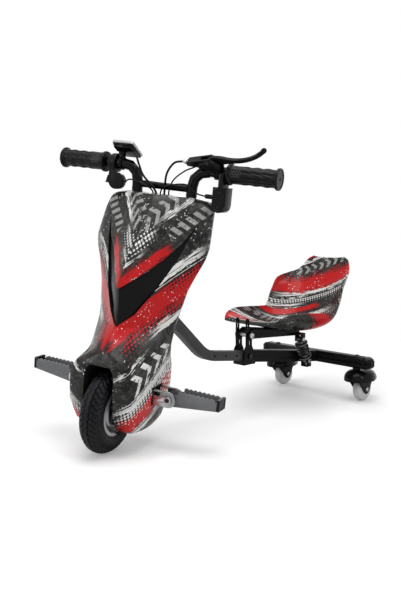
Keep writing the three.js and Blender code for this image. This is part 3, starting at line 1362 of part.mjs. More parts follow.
function shockRod() {
  const top = shockLength;
  const eye = tubeRing(shockEyeRadius, boreFor(shockPinRadius), shockEyeWidth, 'x', vec(0, 0, top));
  const cap = rod(springRadius + springWire / 2, springSeat, 'z', vec(0, 0, springHead + seatGap + springSeat / 2), 18);
  const neckTo = top - shockEyeRadius + runningGap;
  const neckFrom = springHead + seatGap;
  const neck = rod(damperRadius * 0.85, neckTo - neckFrom, 'z', vec(0, 0, (neckTo + neckFrom) / 2));
  const rodFoot = springFoot + (springHead - springFoot) * 0.42;
  const stick = rod(damperRodRadius, neckFrom - rodFoot + overrun, 'z', vec(0, 0, (neckFrom + rodFoot + overrun) / 2));
  return onShock(geometryOf(join(eye, cap, neck, stick)));
}

function shockPin(at, halfSpan) {
  const shank = rod(shockPinRadius, 2 * halfSpan, 'x', at);
  const head = rod(shockPinRadius * 1.7, lugPlate, 'x', vec(at.x + halfSpan + lugPlate / 2, at.y, at.z), 6);
  return join(shank, head);
}

// Coil spring as one unbroken tube
const springSteps = 8;
const springSides = 5;

function springPoint(share) {
  const angle = 2 * Math.PI * springTurns * share;
  const low = springFoot + springWire / 2 + seatGap;
  const high = springHead - springWire / 2 - seatGap;
  return vec(springRadius * Math.cos(angle), springRadius * Math.sin(angle), low + (high - low) * share);
}

// The wire's middle line: the coils, and a level end of one wire's width on each seat
function springLine() {
  const steps = springSteps * springTurns;
  const line = [...Array(steps + 1).keys()].map((i) => springPoint(i / steps));
  const level = (from, to) => from.clone().sub(to).setZ(0).setLength(springWire);
  line.unshift(line[0].clone().add(level(line[0], line[1])));
  line.push(line.at(-1).clone().add(level(line.at(-1), line.at(-2))));
  return line;
}

function coilSpring() {
  const line = springLine();
  const rings = [];
  for (let i = 0; i < line.length; i += 1) {
    const at = line[i];
    const [before, after] = [line[Math.max(i - 1, 0)], line[Math.min(i + 1, line.length - 1)]];
    const run = after.clone().sub(before).normalize();
    const outward = vec(at.x, at.y, 0).normalize();
    const side = new THREE.Vector3().crossVectors(run, outward).normalize();
    const out = new THREE.Vector3().crossVectors(side, run).normalize();
    const ring = [];
    for (let k = 0; k < springSides; k += 1) {
      const turn = (2 * Math.PI * k) / springSides;
      const offset = out.clone().multiplyScalar(Math.cos(turn)).addScaledVector(side, Math.sin(turn));
      ring.push(at.clone().addScaledVector(offset, springWire / 2));
    }
    rings.push(ring);
  }
  return onShock(orientOut(loft(rings)));
}

function springSelfGap() {
  const turnsApart = 1 / springTurns;
  let least = Infinity;
  const samples = springSteps * springTurns * 4;
  for (let i = 0; i <= samples; i += 1) {
    for (let k = i + 1; k <= samples; k += 1) {
      if ((k - i) / samples > turnsApart / 2) {
        least = Math.min(least, springPoint(i / samples).distanceTo(springPoint(k / samples)) - springWire);
      }
    }
  }
  return least;
}

// Casters trail behind their kingpins
const casterAt = (side) => vec(side * casterHalfSpan, beamY, 0);

function kingpin(side) {
  const top = beamZ - seatGap;
  const bottom = hoodTop - hoodHeight / 4 + seatGap;
  const at = casterAt(side);
  const stem = rod(kingpinRadius, top - bottom, 'z', vec(at.x, at.y, (top + bottom) / 2));
  const collar = rod(kingpinRadius * 1.6, beamZ - beamSize / 2 - hoodTop - 2 * seatGap, 'z',
    vec(at.x, at.y, (beamZ - beamSize / 2 + hoodTop) / 2));
  return join(stem, collar);
}

// Hood: rings as shares of height, half width, half length and beak
const hoodRingShares = [[0, 0.97, 0.98, 0.9], [0.35, 1, 1, 1], [0.68, 0.92, 0.92, 0.5], [0.9, 0.68, 0.7, 0.1], [1, 0.4, 0.42, 0]];

function casterHood(side) {
  const at = casterAt(side);
  const middle = casterTrail * 0.6;
  const rings = hoodRingShares.map(([height, width, length, beak]) => {
    const ring = [];
    const count = 20;
    for (let k = 0; k < count; k += 1) {
      const angle = (2 * Math.PI * k) / count;
      const back = Math.max(Math.sin(angle), 0) ** 6;
      ring.push(vec(at.x + hoodHalfWidth * width * Math.cos(angle),
        at.y + middle + hoodHalfLength * length * Math.sin(angle) + hoodBeak * beak * back,
        hoodTop - hoodHeight + hoodHeight * height));
    }
    return ring;
  });
  const dome = orientOut(loft(rings));
  const axleY = at.y + casterTrail;
  const cheekHalf = casterRadius * 0.36;
  const cheekPoints = [
    [at.y - cheekHalf, hoodTop - hoodHeight / 2], [axleY - cheekHalf * 0.8, casterRadius - cheekHalf * 0.6],
    [axleY, casterRadius - cheekHalf], [axleY + cheekHalf * 0.8, casterRadius - cheekHalf * 0.6],
    [axleY + cheekHalf * 1.6, hoodTop - hoodHeight / 2],
  ];
  const inner = casterWidth / 2 + runningGap;
  const cheek = sidePlate(cheekPoints, inner, inner + casterFork);
  const wheelSpace = revolve([[0, -inner], [casterRadius + 4 * runningGap, -inner], [casterRadius + 4 * runningGap, inner], [0, inner]],
    'x', vec(at.x, axleY, casterRadius), 20);
  const slot = box(2 * inner, 2 * (hoodHalfLength - casterFork), hoodTop - hoodHeight / 2,
    vec(at.x, at.y + middle, (hoodTop - hoodHeight / 2) / 2));
  const hollow = box(2 * (hoodHalfWidth - casterFork), 2 * (hoodHalfLength - 2 * casterFork), hoodHeight / 2,
    vec(at.x, at.y + middle, hoodTop - hoodHeight));
  const cheeks = join(cheek, flipped(cheek)).translate(at.x, 0, 0);
  const pinBore = rod(boreFor(kingpinRadius), hoodHeight / 2, 'z', vec(at.x, at.y, hoodTop));
  const axle = rod(casterPinRadius, 2 * (inner + casterFork + runningGap), 'x', vec(at.x, axleY, casterRadius));
  return cut(join(cut(dome, hollow, slot), cheeks), wheelSpace, pinBore).add(asSolid(axle));
}

function casterWheel(side) {
  const at = casterAt(side);
  const half = casterWidth / 2;
  const bore = casterPinRadius + seatGap;
  const profile = [
    [bore, -half], [casterRadius * 0.72, -half], [casterRadius * 0.93, -half * 0.75], [casterRadius, -half * 0.3],
    [casterRadius, half * 0.3], [casterRadius * 0.93, half * 0.75], [casterRadius * 0.72, half], [bore, half], [bore, -half],
  ];
  return revolve(profile, 'x', vec(at.x, at.y + casterTrail, casterRadius), 22);
}

// Front unit
addPart(front, 'front_tyre', tyre(), rubberBlack);
addPart(front, 'front_rim', rim(), castSilver);
addPart(front, 'hub_motor', hubMotor(), castSilver);
addPart(front, 'front_axle', frontAxle(), steel);
addPart(front, 'brake_plate', brakePlate(), castSilver);
addPart(front, 'steering_fork', fork(), satinBlack);
addPart(front, 'handlebar', handlebar(), satinBlack);
addPart(front, 'grip_left', grip(1), rubberBlack);
addPart(front, 'grip_right', grip(-1), rubberBlack);

const shell = fairingShell();
addPart(front, 'fairing_front', common(shell, seamHalf(true)), printedShell);
addPart(front, 'fairing_rear', common(shell, seamHalf(false)), printedShell);
addPart(front, 'fairing_insert', insert(), glossBlack);
addPart(front, 'battery_pack', battery(), plainBlue);
addPart(front, 'motor_controller', controller(), castSilver);

for (const [side, label] of [[1, 'left'], [-1, 'right']]) {
  addPart(front, `peg_bracket_${label}`, pegBracket(side), pegGrey);
  addPart(front, `peg_pin_${label}`, pegPin(side), steel);
  addPart(front, `foot_peg_${label}`, footPeg(side), pegGrey);
}

addPart(front, 'brake_bracket', brakeBracket(), satinBlack);
addPart(front, 'brake_lever', brakeLever(), satinBlack);
addPart(front, 'barrel_adjuster', barrelAdjuster(), steel);
addPart(front, 'brake_cable', cable(brakeCableRoute, cableRadius), rubberBlack);
addPart(front, 'brake_switch_wire', cable(brakeWireRoute, wireRadius), rubberBlack);
addPart(front, 'switch_pod', switchPod(), satinBlack);
addPart(front, 'horn_button', switchButton(0), castSilver);
addPart(front, 'light_button', switchButton(1), castSilver);
addPart(front, 'switch_wire', cable(switchWireRoute, wireRadius), rubberBlack);
addPart(front, 'throttle_housing', throttleHousing(), satinBlack);
addPart(front, 'throttle_lever', throttleLever(), satinBlack);
addPart(front, 'throttle_wire', cable(throttleWireRoute, wireRadius), rubberBlack);
addPart(front, 'display_housing', displayHousing(), glossBlack);
addPart(front, 'display_plate', displayPlate(), paleSilver);
addPart(front, 'display_button', displayButton(), darkGlass);
addPart(front, 'display_wire', cable(displayWireRoute, cableRadius), rubberBlack);

// Frame and rear unit
addPart(scooter, 'main_tube', mainTube(), frameGrey);
addPart(scooter, 'head_bearing_lower', bearing(headBottom), steel);
addPart(scooter, 'head_bearing_upper', bearing(headBottom + headLength), steel);
addPart(scooter, 'rear_frame', rearFrame(), satinBlack);
addPart(scooter, 'seat_bracket', seatBracket(), satinBlack);
addPart(scooter, 'seat_carrier', seatCarrier(), satinBlack);
addPart(scooter, 'seat_pivot_bolt', pivotBolt(), steel);
addPart(scooter, 'seat_pan', seatPan(), printedShell);
const eyeSpan = shockEyeWidth / 2 + 2 * seatGap + lugPlate;
addPart(scooter, 'shock_body', shockBody(), satinBlack);
addPart(scooter, 'shock_rod', shockRod(), pegGrey);
addPart(scooter, 'shock_spring', coilSpring(), glossBlack);
addPart(scooter, 'shock_pin_lower', shockPin(shockFoot, eyeSpan), steel);
addPart(scooter, 'shock_pin_upper', shockPin(shockTop, eyeSpan), steel);

for (const [side, label] of [[1, 'left'], [-1, 'right']]) {
  addPart(scooter, `bracket_bolt_${label}`, bracketBolt(side), steel);
  addPart(scooter, `beam_cap_${label}`, beamCap(side), glossBlack);
  addPart(scooter, `caster_kingpin_${label}`, kingpin(side), satinBlack);
  addPart(scooter, `caster_hood_${label}`, casterHood(side), glossBlack);
  addPart(scooter, `caster_wheel_${label}`, casterWheel(side), paleWheel);
}

// The origin goes under the middle of the whole scooter
scooter.updateMatrixWorld(true);
const bounds = new THREE.Box3().setFromObject(scooter, true);
scooter.position.set(-(bounds.min.x + bounds.max.x) / 2, -(bounds.min.y + bounds.max.y) / 2, -bounds.min.z);

console.log(`least gap between the coils of the spring: ${springSelfGap().toFixed(2)} mm`);

export default scooter;
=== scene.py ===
"""Three-wheeled electric drift scooter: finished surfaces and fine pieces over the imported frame.

Everything is in metres in the row frame: +Z up, -Y to the front, +X to the rider's left.
"""

import json
from math import copysign, cos, pi, radians, sin, sqrt, tan

import bmesh
import bpy
import numpy as np
from mathutils import Matrix, Quaternion, Vector
from mathutils.bvhtree import BVHTree

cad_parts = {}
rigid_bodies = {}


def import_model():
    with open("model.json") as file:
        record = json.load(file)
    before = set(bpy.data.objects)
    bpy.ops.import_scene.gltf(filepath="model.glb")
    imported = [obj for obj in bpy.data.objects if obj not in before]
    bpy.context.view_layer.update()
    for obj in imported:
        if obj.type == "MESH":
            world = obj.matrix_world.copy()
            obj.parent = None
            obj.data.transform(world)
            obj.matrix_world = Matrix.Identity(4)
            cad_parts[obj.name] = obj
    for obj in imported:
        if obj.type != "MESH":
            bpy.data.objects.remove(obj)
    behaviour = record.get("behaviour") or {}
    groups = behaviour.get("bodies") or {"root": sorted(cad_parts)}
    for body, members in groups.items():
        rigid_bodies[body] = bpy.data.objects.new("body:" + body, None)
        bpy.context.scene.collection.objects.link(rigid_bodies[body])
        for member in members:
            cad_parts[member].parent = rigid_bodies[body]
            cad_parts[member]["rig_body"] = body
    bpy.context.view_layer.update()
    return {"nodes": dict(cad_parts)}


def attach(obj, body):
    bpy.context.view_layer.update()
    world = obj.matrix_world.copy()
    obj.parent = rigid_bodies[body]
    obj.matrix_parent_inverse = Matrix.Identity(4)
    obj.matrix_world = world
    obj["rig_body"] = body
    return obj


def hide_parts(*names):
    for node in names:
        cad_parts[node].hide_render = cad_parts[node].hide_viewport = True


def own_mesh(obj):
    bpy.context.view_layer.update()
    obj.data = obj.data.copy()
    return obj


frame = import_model()
NODES = frame["nodes"]
MM = 0.001

# Shift of the whole scooter, and the steering as it is turned in the photograph
SHIFT = Vector((-18.434, -401.590, 0.096)) * MM
RAKE = radians(18)
TURN = radians(22)
AXIS_FOOT = Vector((0, 13, 0)) * MM
STEER_AXIS = Vector((0, sin(RAKE), cos(RAKE)))
TURNED = (
    Matrix.Translation(SHIFT + AXIS_FOOT)
    @ Quaternion(STEER_AXIS, TURN).to_matrix().to_4x4()
    @ Matrix.Translation(-AXIS_FOOT)
)
STRAIGHT = TURNED.inverted()
REAR = Matrix.Translation(SHIFT)
HUB = Vector((0, 0, 100.483)) * MM
BAR = Vector((0, 177, 655)) * MM


def turned(x, y, z):
    """A place on the steering unit, in millimetres as if it stood straight, in the row frame."""
    return TURNED @ (Vector((x, y, z)) * MM)


def rear(x, y, z):
    """A place on the frame or the rear unit, in millimetres, in the row frame."""
    return REAR @ (Vector((x, y, z)) * MM)


# ---------------------------------------------------------------- camera, light and floor

LENS = 44.57
EYE, TARGET = (1.33525, -1.40851, 0.54868), (0.00656, -0.11479, 0.32950)

# How strongly the white surround lights the object; seen or mirrored, it is plain white
SURROUND = 0.40

# Name, place, aim, size in metres and watts
LAMPS = [
    ("overhead_lamp", (0.3, -0.4, 2.6), (0, -0.05, 0.2), (2.0, 2.0), 44),
    ("front_strip", (-0.7, -2.6, 1.5), (0, -0.2, 0.35), (0.35, 1.6), 13),
    ("side_strip", (2.7, -0.1, 1.7), (0, 0.0, 0.3), (0.35, 1.8), 16),
    ("back_strip", (-1.9, 1.8, 1.8), (0, 0.1, 0.3), (0.6, 1.4), 14),
]

FLOOR_RADIUS, FLOOR_WHITE, FLOOR_GLOW = 2.4, 0.86, 0.20
FADE_START, FADE_END = 0.8, 1.7


def linked(name, data):
    """A new object in the scene."""
    made = bpy.data.objects.new(name, data)
    bpy.context.scene.collection.objects.link(made)
    return made


def aimed(name, data, place, target):
    """A camera or a lamp that looks from a place to a target."""
    made = linked(name, data)
    made.location = place
    made.rotation_euler = (Vector(target) - Vector(place)).to_track_quat("-Z", "Y").to_euler()
    return made


def camera():
    data = bpy.data.cameras.new("camera")
    data.sensor_width, data.lens = 36, LENS
    data.clip_start, data.clip_end = 0.05, 60
    bpy.context.scene.camera = aimed("camera", data, EYE, TARGET)


def studio():
    scene = bpy.context.scene
    scene.view_settings.view_transform = "Standard"
    scene.world = bpy.data.worlds.new("studio")
    scene.world.use_nodes = True
    tree = scene.world.node_tree
    tree.nodes.clear()
    path = tree.nodes.new("ShaderNodeLightPath")
    seen = Field(tree, path.outputs["Is Camera Ray"]).either(Field(tree, path.outputs["Is Transmission Ray"]))
    shown = seen.either(Field(tree, path.outputs["Is Glossy Ray"]))
    strength = shown.math("MULTIPLY_ADD", 1.0 - SURROUND, SURROUND)
    white = node(tree, "ShaderNodeBackground", {"Color": (1, 1, 1, 1), "Strength": strength})
    plug(tree, tree.nodes.new("ShaderNodeOutputWorld").inputs["Surface"], white)
    for name, place, target, size, power in LAMPS:
        data = bpy.data.lights.new(name, "AREA")
        data.shape = "RECTANGLE"
        data.size, data.size_y = size
        data.energy = power
        aimed(name, data, place, target)


def floor():
    """A white disc that keeps the shadow and fades into the white around it."""
    mesh = bpy.data.meshes.new("floor")
    mesh.from_pydata([(FLOOR_RADIUS * cos(t), FLOOR_RADIUS * sin(t), 0) for t in turns(64)], [], [range(64)])
    ground = linked("floor", mesh)
    material = bpy.data.materials.new("pale_floor")
    material.use_nodes = True
    tree = material.node_tree
    tree.nodes.clear()
    paint = node(tree, "ShaderNodeBsdfDiffuse", {"Color": (FLOOR_WHITE, FLOOR_WHITE, FLOOR_WHITE, 1)})
    path = tree.nodes.new("ShaderNodeLightPath")
    glow = node(tree, "ShaderNodeEmission", {"Strength": Field(tree, path.outputs["Is Camera Ray"]) * FLOOR_GLOW})
    lit = node(tree, "ShaderNodeAddShader", {0: paint, 1: glow})
    clear = node(tree, "ShaderNodeBsdfTransparent", {})
    away = node(tree, "ShaderNodeVectorMath", {0: object_place(tree)}, "Value", operation="LENGTH")
    faded = node(tree, "ShaderNodeMixShader", {0: away.rises(FADE_START, FADE_END), 1: lit, 2: clear})
    plug(tree, tree.nodes.new("ShaderNodeOutputMaterial").inputs["Surface"], faded)
    mesh.materials.append(material)


# ---------------------------------------------------------------- writing node trees


class Field:
    """A value that changes over a surface; sums and products of fields become math nodes."""

    def __init__(self, tree, socket):
        self.tree, self.socket = tree, socket

    def math(self, operation, *others, clamp=False):
        items = dict(enumerate((self, *others)))
        return node(self.tree, "ShaderNodeMath", items, operation=operation, use_clamp=clamp)

    def __add__(self, other):
        return self.math("ADD", other)

    def __sub__(self, other):
        return self.math("SUBTRACT", other)

    def __mul__(self, other):
        return self.math("MULTIPLY", other)

    def size(self):
        return self.math("ABSOLUTE")

    def either(self, other):
        return self.math("MAXIMUM", other)

    def wrap(self, pitch):
        """Place within a repeat of this pitch, from 0 to 1."""
        return self.math("DIVIDE", pitch).math("FRACT")

    def rises(self, low, high):
        """0 under low, 1 over high, and a soft step between; low over high turns it round."""
        start, end = (0.0, 1.0) if low < high else (1.0, 0.0)
        ramp = {"Value": self, "From Min": min(low, high), "From Max": max(low, high), "To Min": start, "To Max": end}
        return node(self.tree, "ShaderNodeMapRange", ramp, interpolation_type="SMOOTHSTEP")


def plug(tree, socket, item):
    """Sets a socket to a plain value, or links a field to it."""
    if isinstance(item, Field):
        tree.links.new(item.socket, socket)
    else:
        socket.default_value = item


def node(tree, kind, inputs, output=0, **settings):
    """Adds a node with its settings and inputs, and gives one of its outputs."""
    made = tree.nodes.new(kind)
    for label, value in settings.items():
        setattr(made, label, value)
    for label, item in inputs.items():
        plug(tree, made.inputs[label], item)
    return Field(tree, made.outputs[output])


def combine(tree, x, y, z):
    return node(tree, "ShaderNodeCombineXYZ", {0: x, 1: y, 2: z})


def separate(tree, vector):
    made = tree.nodes.new("ShaderNodeSeparateXYZ")
    plug(tree, made.inputs[0], vector)
    return [Field(tree, socket) for socket in made.outputs]


def noise(tree, place, scale, detail=2.0, roughness=0.5, distortion=0.0):
    inputs = {"Vector": place, "Scale": scale, "Detail": detail, "Roughness": roughness, "Distortion": distortion}
    return node(tree, "ShaderNodeTexNoise", inputs, "Fac")


def cells(tree, place, scale):
    return node(tree, "ShaderNodeTexVoronoi", {"Vector": place, "Scale": scale}, "Distance")


def blend(tree, share, first, second):
    made = tree.nodes.new("ShaderNodeMix")
    made.data_type = "RGBA"
    colours = [slot for slot in made.inputs if slot.type == "RGBA"]
    for slot, item in zip((made.inputs["Factor"], *colours), (share, first, second)):
        plug(tree, slot, item)
    return Field(tree, next(slot for slot in made.outputs if slot.type == "RGBA"))


def object_place(tree):
    return node(tree, "ShaderNodeTexCoord", {}, "Object")


def attribute(tree, name, output="Fac"):
    return node(tree, "ShaderNodeAttribute", {}, output, attribute_name=name)


def group(name, inputs, outputs, kind="Shader"):
    """A node group with named inputs and outputs, and its two ends."""
    tree = bpy.data.node_groups.new(name, kind + "NodeTree")
    for way, sockets in (("INPUT", inputs), ("OUTPUT", outputs)):
        for label, sort in sockets.items():
            tree.interface.new_socket(label, in_out=way, socket_type="NodeSocket" + sort)
    start, end = tree.nodes.new("NodeGroupInput"), tree.nodes.new("NodeGroupOutput")
    return tree, {s.name: Field(tree, s) for s in start.outputs if s.name}, end


def use_group(tree, made, **values):
    used = tree.nodes.new("ShaderNodeGroup")
    used.node_tree = made
    for label, item in values.items():
        plug(tree, used.inputs[label], item)
    return {s.name: Field(tree, s) for s in used.outputs}


# ---------------------------------------------------------------- finishes

# How far roughness varies over a surface, the colour of dust, and how fine the scuffs are drawn
ROUGHNESS_SPREAD = 0.12
DUST = (0.16, 0.15, 0.14, 1.0)
FINISH_SCALE, FILM_SCALE = 14.0, 10.0


def handled_group():
    """Small scuffs, dust near the ground and unevenness, which every finish carries."""
    tree, given, end = group(
        "handled",
        {"Place": "Vector", "Scale": "Float", "Amount": "Float"},
        {"Scuff": "Float", "Dust": "Float", "Unevenness": "Float"},
    )
    amount = given["Amount"]
    place = node(tree, "ShaderNodeVectorMath", {0: given["Place"], "Scale": given["Scale"]}, operation="SCALE")
    low = separate(tree, given["Place"])[2].rises(0.22, 0.0)
    made = {
        "Scuff": noise(tree, place, 9.0, 6.0, 0.65, 0.4).rises(0.62, 0.78) * amount,
        "Dust": low * noise(tree, place, 3.0, 4.0).rises(0.3, 0.7) * amount,
        "Unevenness": noise(tree, place, 2.2, 3.0),
    }
    for label, item in made.items():
        plug(tree, end.inputs[label], item)
    return tree


HANDLED = handled_group()


def new_material(name):
    """A material with its node tree and its Principled shader."""
    material = bpy.data.materials.new(name)
    material.use_nodes = True
    return material, material.node_tree, material.node_tree.nodes["Principled BSDF"]


def relief(tree, shader, height, depth):
    """Fine relief over a finish, its depth in metres."""
    plug(tree, shader.inputs["Normal"], node(tree, "ShaderNodeBump", {"Distance": depth, "Height": height}))


def finish_of(name, colour, roughness, grain, wear, metallic=0.0, dusty=0.3, shine=0.5, shade=0.82, **sockets):
    """A worn, slightly uneven finish: grain is (scale, depth in metres), shine the specular level.

    The colour is a shade of grey, or its red, green and blue. Shade is how much of it is left in
    the uneven patches: near 1 a random tone, and set low a painted dark reflection.
    """
    material, tree, shader = new_material(name)
    colour = colour if isinstance(colour, tuple) else (colour,) * 3
    place = object_place(tree)
    handled = use_group(tree, HANDLED, Place=place, Scale=FINISH_SCALE, Amount=wear)
    scuffed = (*(min(c * 1.5 + 0.012, 1.0) for c in colour), 1.0)
    patch_tone_and_painted_reflection = (*(c * shade for c in colour), 1.0)
    tone = blend(tree, handled["Scuff"], (*colour, 1.0), scuffed)
    # Uneven patches: a random tone, and with a low shade painted dark reflections
    tone = blend(tree, handled["Unevenness"].rises(0.35, 0.7) * 0.7, tone, patch_tone_and_painted_reflection)
    plug(tree, shader.inputs["Base Color"], blend(tree, handled["Dust"] * dusty, tone, DUST))
    rough = handled["Unevenness"].math("MULTIPLY_ADD", ROUGHNESS_SPREAD, roughness - ROUGHNESS_SPREAD / 2)
    plug(tree, shader.inputs["Roughness"], rough.math("ADD", handled["Scuff"] * 0.2, clamp=True))
    shader.inputs["Metallic"].default_value = metallic
    shader.inputs["Specular IOR Level"].default_value = shine
    for label, value in sockets.items():
        shader.inputs[label.replace("_", " ")].default_value = value
    relief(tree, shader, noise(tree, place, grain[0], 3.0, 0.6), grain[1])
    return material


RED = (0.50, 0.008, 0.010, 1.0)
DEEP_RED = (0.20, 0.005, 0.007, 1.0)
CHARCOAL = (0.017, 0.017, 0.016, 1.0)
SLATE = (0.046, 0.046, 0.043, 1.0)
SOOT = (0.004, 0.004, 0.004, 1.0)
CHALK = (0.74, 0.74, 0.72, 1.0)
ASH = (0.30, 0.30, 0.29, 1.0)
FILM_SCUFF = (0.40, 0.40, 0.40, 1.0)
BARE_INSIDE = (0.009, 0.009, 0.009, 1.0)


class Film:
    """The printed film's drawing tools, over two fields that run along the surface."""

    def __init__(self, tree, around, up, seed, lean):
        self.tree, self.around, self.up, self.seed = tree, around, up, seed
        self.tone = CHARCOAL
        self.across = up * cos(lean) - around * sin(lean)
        self.along = around * cos(lean) + up * sin(lean)
        run = combine(tree, self.along * 7.0, self.across * 130.0, seed * 3.0)
        self.streaks = noise(tree, run, 1.0, 4.0, 0.62)
        torn = combine(tree, self.along * 40.0, self.across * 95.0, seed * 7.0)
        self.ragged = noise(tree, torn, 1.0, 5.0, 0.72)
        self.edge = (self.streaks * 0.040 + self.ragged * 0.036) - 0.038

    def lay(self, colour, mask, worn=None):
        """Prints a colour where the mask is 1; worn ink breaks up, the more the higher its share."""
        if worn:
            mask = mask * self.ragged.rises(worn, worn + 0.03)
        self.tone = blend(self.tree, mask, self.tone, colour)

    def reach(self, start, stop, soft=0.03):
        """Where the strokes begin and end along their run, torn by the streaks."""
        place = self.along + (self.streaks - 0.5) * 0.10
        return place.rises(start, start + soft) * place.rises(stop, stop - soft)

    def band(self, middle, half, wobble=1.0):
        """A band across the run, its edges torn unless the wobble is 0."""
        return ((self.across - middle + self.edge * wobble).size() - half).rises(0.0005, -0.0005)

    def oval(self, around, up, reach, height):
        """A patch with a ragged edge, its middle and half sizes given."""
        dx, dy = (self.around - around).math("DIVIDE", reach), (self.up - up).math("DIVIDE", height)
        return (dx * dx + dy * dy + (self.ragged - 0.5) * 0.9).rises(1.2, 0.8)

    def box(self, start, stop, low, high):
        inside = self.along.rises(start, start + 0.0006) * self.along.rises(stop, stop - 0.0006)
        return inside * self.across.rises(low, low + 0.0006) * self.across.rises(high, high - 0.0006)

    def dots(self, pitch, middle, reach):
        """Rows of dots that shrink away from a line."""
        largest = 0.45 * pitch
        a = (self.along.wrap(pitch) - 0.5) * pitch
        b = ((self.across + 0.5).wrap(pitch) - 0.5) * pitch
        radius = (self.across - middle).size().math("MULTIPLY_ADD", -largest / reach, largest)
        return ((a * a + b * b).math("SQRT") - radius).rises(0.0004, -0.0004)

    def checks(self, pitch):
        a, b = self.along.wrap(pitch).rises(0.49, 0.51), (self.across + 0.5).wrap(pitch).rises(0.49, 0.51)
        return (a - b).size()

    def chevrons(self, middle, half, start, count, pitch, thick):
        """A row of arrow heads along the run, between two lines across it."""
        slope = 0.75
        tip = (self.across - middle).size() * slope + self.along - start
        row = self.box(start - half * slope, start + count * pitch, middle - half, middle + half)
        inside = tip.rises(0.0, 0.0008) * tip.rises(count * pitch, count * pitch - 0.0008)
        return tip.wrap(pitch).rises(1.0 - thick, 1.0 - thick + 0.03) * row * inside

    def bars(self, start, stop, low, high, pitch, thick, slant):
        """Slanted bars between two lines."""
        place = self.along + self.across * slant
        return place.wrap(pitch).rises(thick, thick + 0.03) * self.box(start, stop, low, high)

    def ground(self):
        """Charcoal broken up by small slate and soot blocks."""
        small = combine(self.tree, self.around * 75.0, self.up * 105.0, self.seed * 5.0)
        self.lay(SLATE, noise(self.tree, small, 1.0, 3.0, 0.75).rises(0.53, 0.55))
        wide = combine(self.tree, self.around * 26.0, self.up * 40.0, self.seed)
        self.lay(SOOT, noise(self.tree, wide, 1.0, 4.0, 0.72).rises(0.55, 0.57))

    def red_bands(self, rim, *rows):
        """Bands with a torn, darker rim; each row is middle, half width, start and stop."""
        for middle, half, start, stop in rows:
            reach = self.reach(start, stop)
            self.lay(DEEP_RED, self.band(middle, half + rim) * reach)
            self.lay(RED, self.band(middle, half) * reach)

    def dry_strokes(self, *rows):
        """White strokes of a wide dry brush, in rows like those of the bands."""
        dry = self.streaks.rises(0.42, 0.50)
        for middle, half, start, stop in rows:
            self.lay(CHALK, self.band(middle, half) * self.reach(start, stop, 0.05) * dry)

    def spatter(self, scale, spread):
        place = combine(self.tree, self.around, self.up, self.seed)
        spots = cells(self.tree, place, scale).rises(0.22, 0.16)
        self.lay(CHALK, spots * noise(self.tree, place, spread, 2.0).rises(0.50, 0.58))


def film_group(name, lean, draw):
    """A group that puts out the printed colour and how much ink lies there; lean is in degrees.

    Around and Up run along the surface in metres; Side is 0 on one flank and 1 on the other.
    """
    tree, given, end = group(
        name, {"Around": "Float", "Up": "Float", "Side": "Float"}, {"Color": "Color", "Ink": "Float"}
    )
    film = Film(tree, given["Around"], given["Up"], given["Side"], radians(lean))
    draw(film)
    plug(tree, end.inputs["Color"], film.tone)
    plug(tree, end.inputs["Ink"], film.ragged)
    return tree


def draw_fairing(film):
    film.ground()
    # Racing bars at the crown, chevrons low on the flank and up the panel
    film.lay(ASH, film.bars(0.36, 0.50, 0.352, 0.380, 0.023, 0.45, 0.7), 0.41)
    film.lay(CHALK, film.chevrons(0.103, 0.027, 0.165, 4, 0.034, 0.42), 0.42)
    film.lay(ASH, film.chevrons(0.430, 0.021, 0.300, 4, 0.029, 0.45), 0.42)
    film.red_bands(0.004, (0.232, 0.025, 0.13, 0.62), (0.010, 0.022, 0.10, 0.40), (0.338, 0.012, 0.18, 0.36))
    film.lay(RED, film.dots(0.0100, 0.200, 0.045) * film.reach(0.16, 0.60) * film.across.rises(0.206, 0.201))
    film.lay(SOOT, film.dots(0.0090, 0.254, 0.036) * film.reach(0.30, 0.62), 0.4)
    film.lay(CHALK, film.dots(0.0085, 0.046, 0.034) * film.reach(0.10, 0.34))
    film.lay(CHALK, film.dots(0.0095, 0.395, 0.028) * film.reach(0.20, 0.34), 0.44)
    film.dry_strokes(
        (0.286, 0.010, 0.24, 0.46), (0.172, 0.010, 0.24, 0.56), (0.145, 0.004, 0.10, 0.25), (0.062, 0.008, 0.10, 0.36),
        (-0.026, 0.010, 0.05, 0.33), (0.410, 0.006, 0.33, 0.50), (0.372, 0.006, 0.16, 0.30),
    )
    # Patches of checks, then pin stripes
    film.lay(ASH, film.checks(0.020) * film.oval(0.268, 0.500, 0.060, 0.040), 0.46)
    film.lay(CHALK, film.checks(0.016) * film.oval(0.225, 0.175, 0.050, 0.038), 0.47)
    for middle in (0.2665, 0.0715):
        film.lay(CHALK, film.band(middle, 0.0009, 0.0) * film.reach(0.10, 0.55), 0.40)
    film.spatter(130.0, 14.0)


def draw_seat(film):
    film.ground()
    film.lay(ASH, film.chevrons(0.268, 0.015, 0.150, 8, 0.025, 0.45), 0.42)
    film.lay(ASH, film.dots(0.0085, 0.074, 0.030) * film.across.rises(0.048, 0.052), 0.42)
    film.red_bands(
        0.003,
        (0.000, 0.015, -0.1, 0.40), (0.118, 0.009, 0.02, 0.24), (0.206, 0.021, -0.1, 0.60), (0.322, 0.011, -0.1, 0.30),
    )
    film.lay(RED, film.dots(0.0080, 0.230, 0.030) * film.across.rises(0.226, 0.231))
    film.lay(CHALK, film.dots(0.0080, 0.158, 0.022) * film.across.rises(0.163, 0.158))
    film.dry_strokes(
        (0.030, 0.008, -0.1, 0.26), (0.092, 0.006, 0.06, 0.30), (0.140, 0.006, 0.0, 0.20), (0.177, 0.007, 0.10, 0.50),
        (0.294, 0.005, 0.14, 0.34), (0.340, 0.006, 0.18, 0.5),
    )
    film.spatter(150.0, 17.0)


def fairing_run(x, y, z):
    """Runs back from the nose line, which leans back with the column, and up."""
    return x.size() + (y - z * tan(RAKE)) * 0.85 + 0.085, z


def seat_run(x, y, z):
    """Runs across the seat, and back along the pan and on up the backrest."""
    return x + 0.15, z * 0.95 + y * 0.62 - 0.541


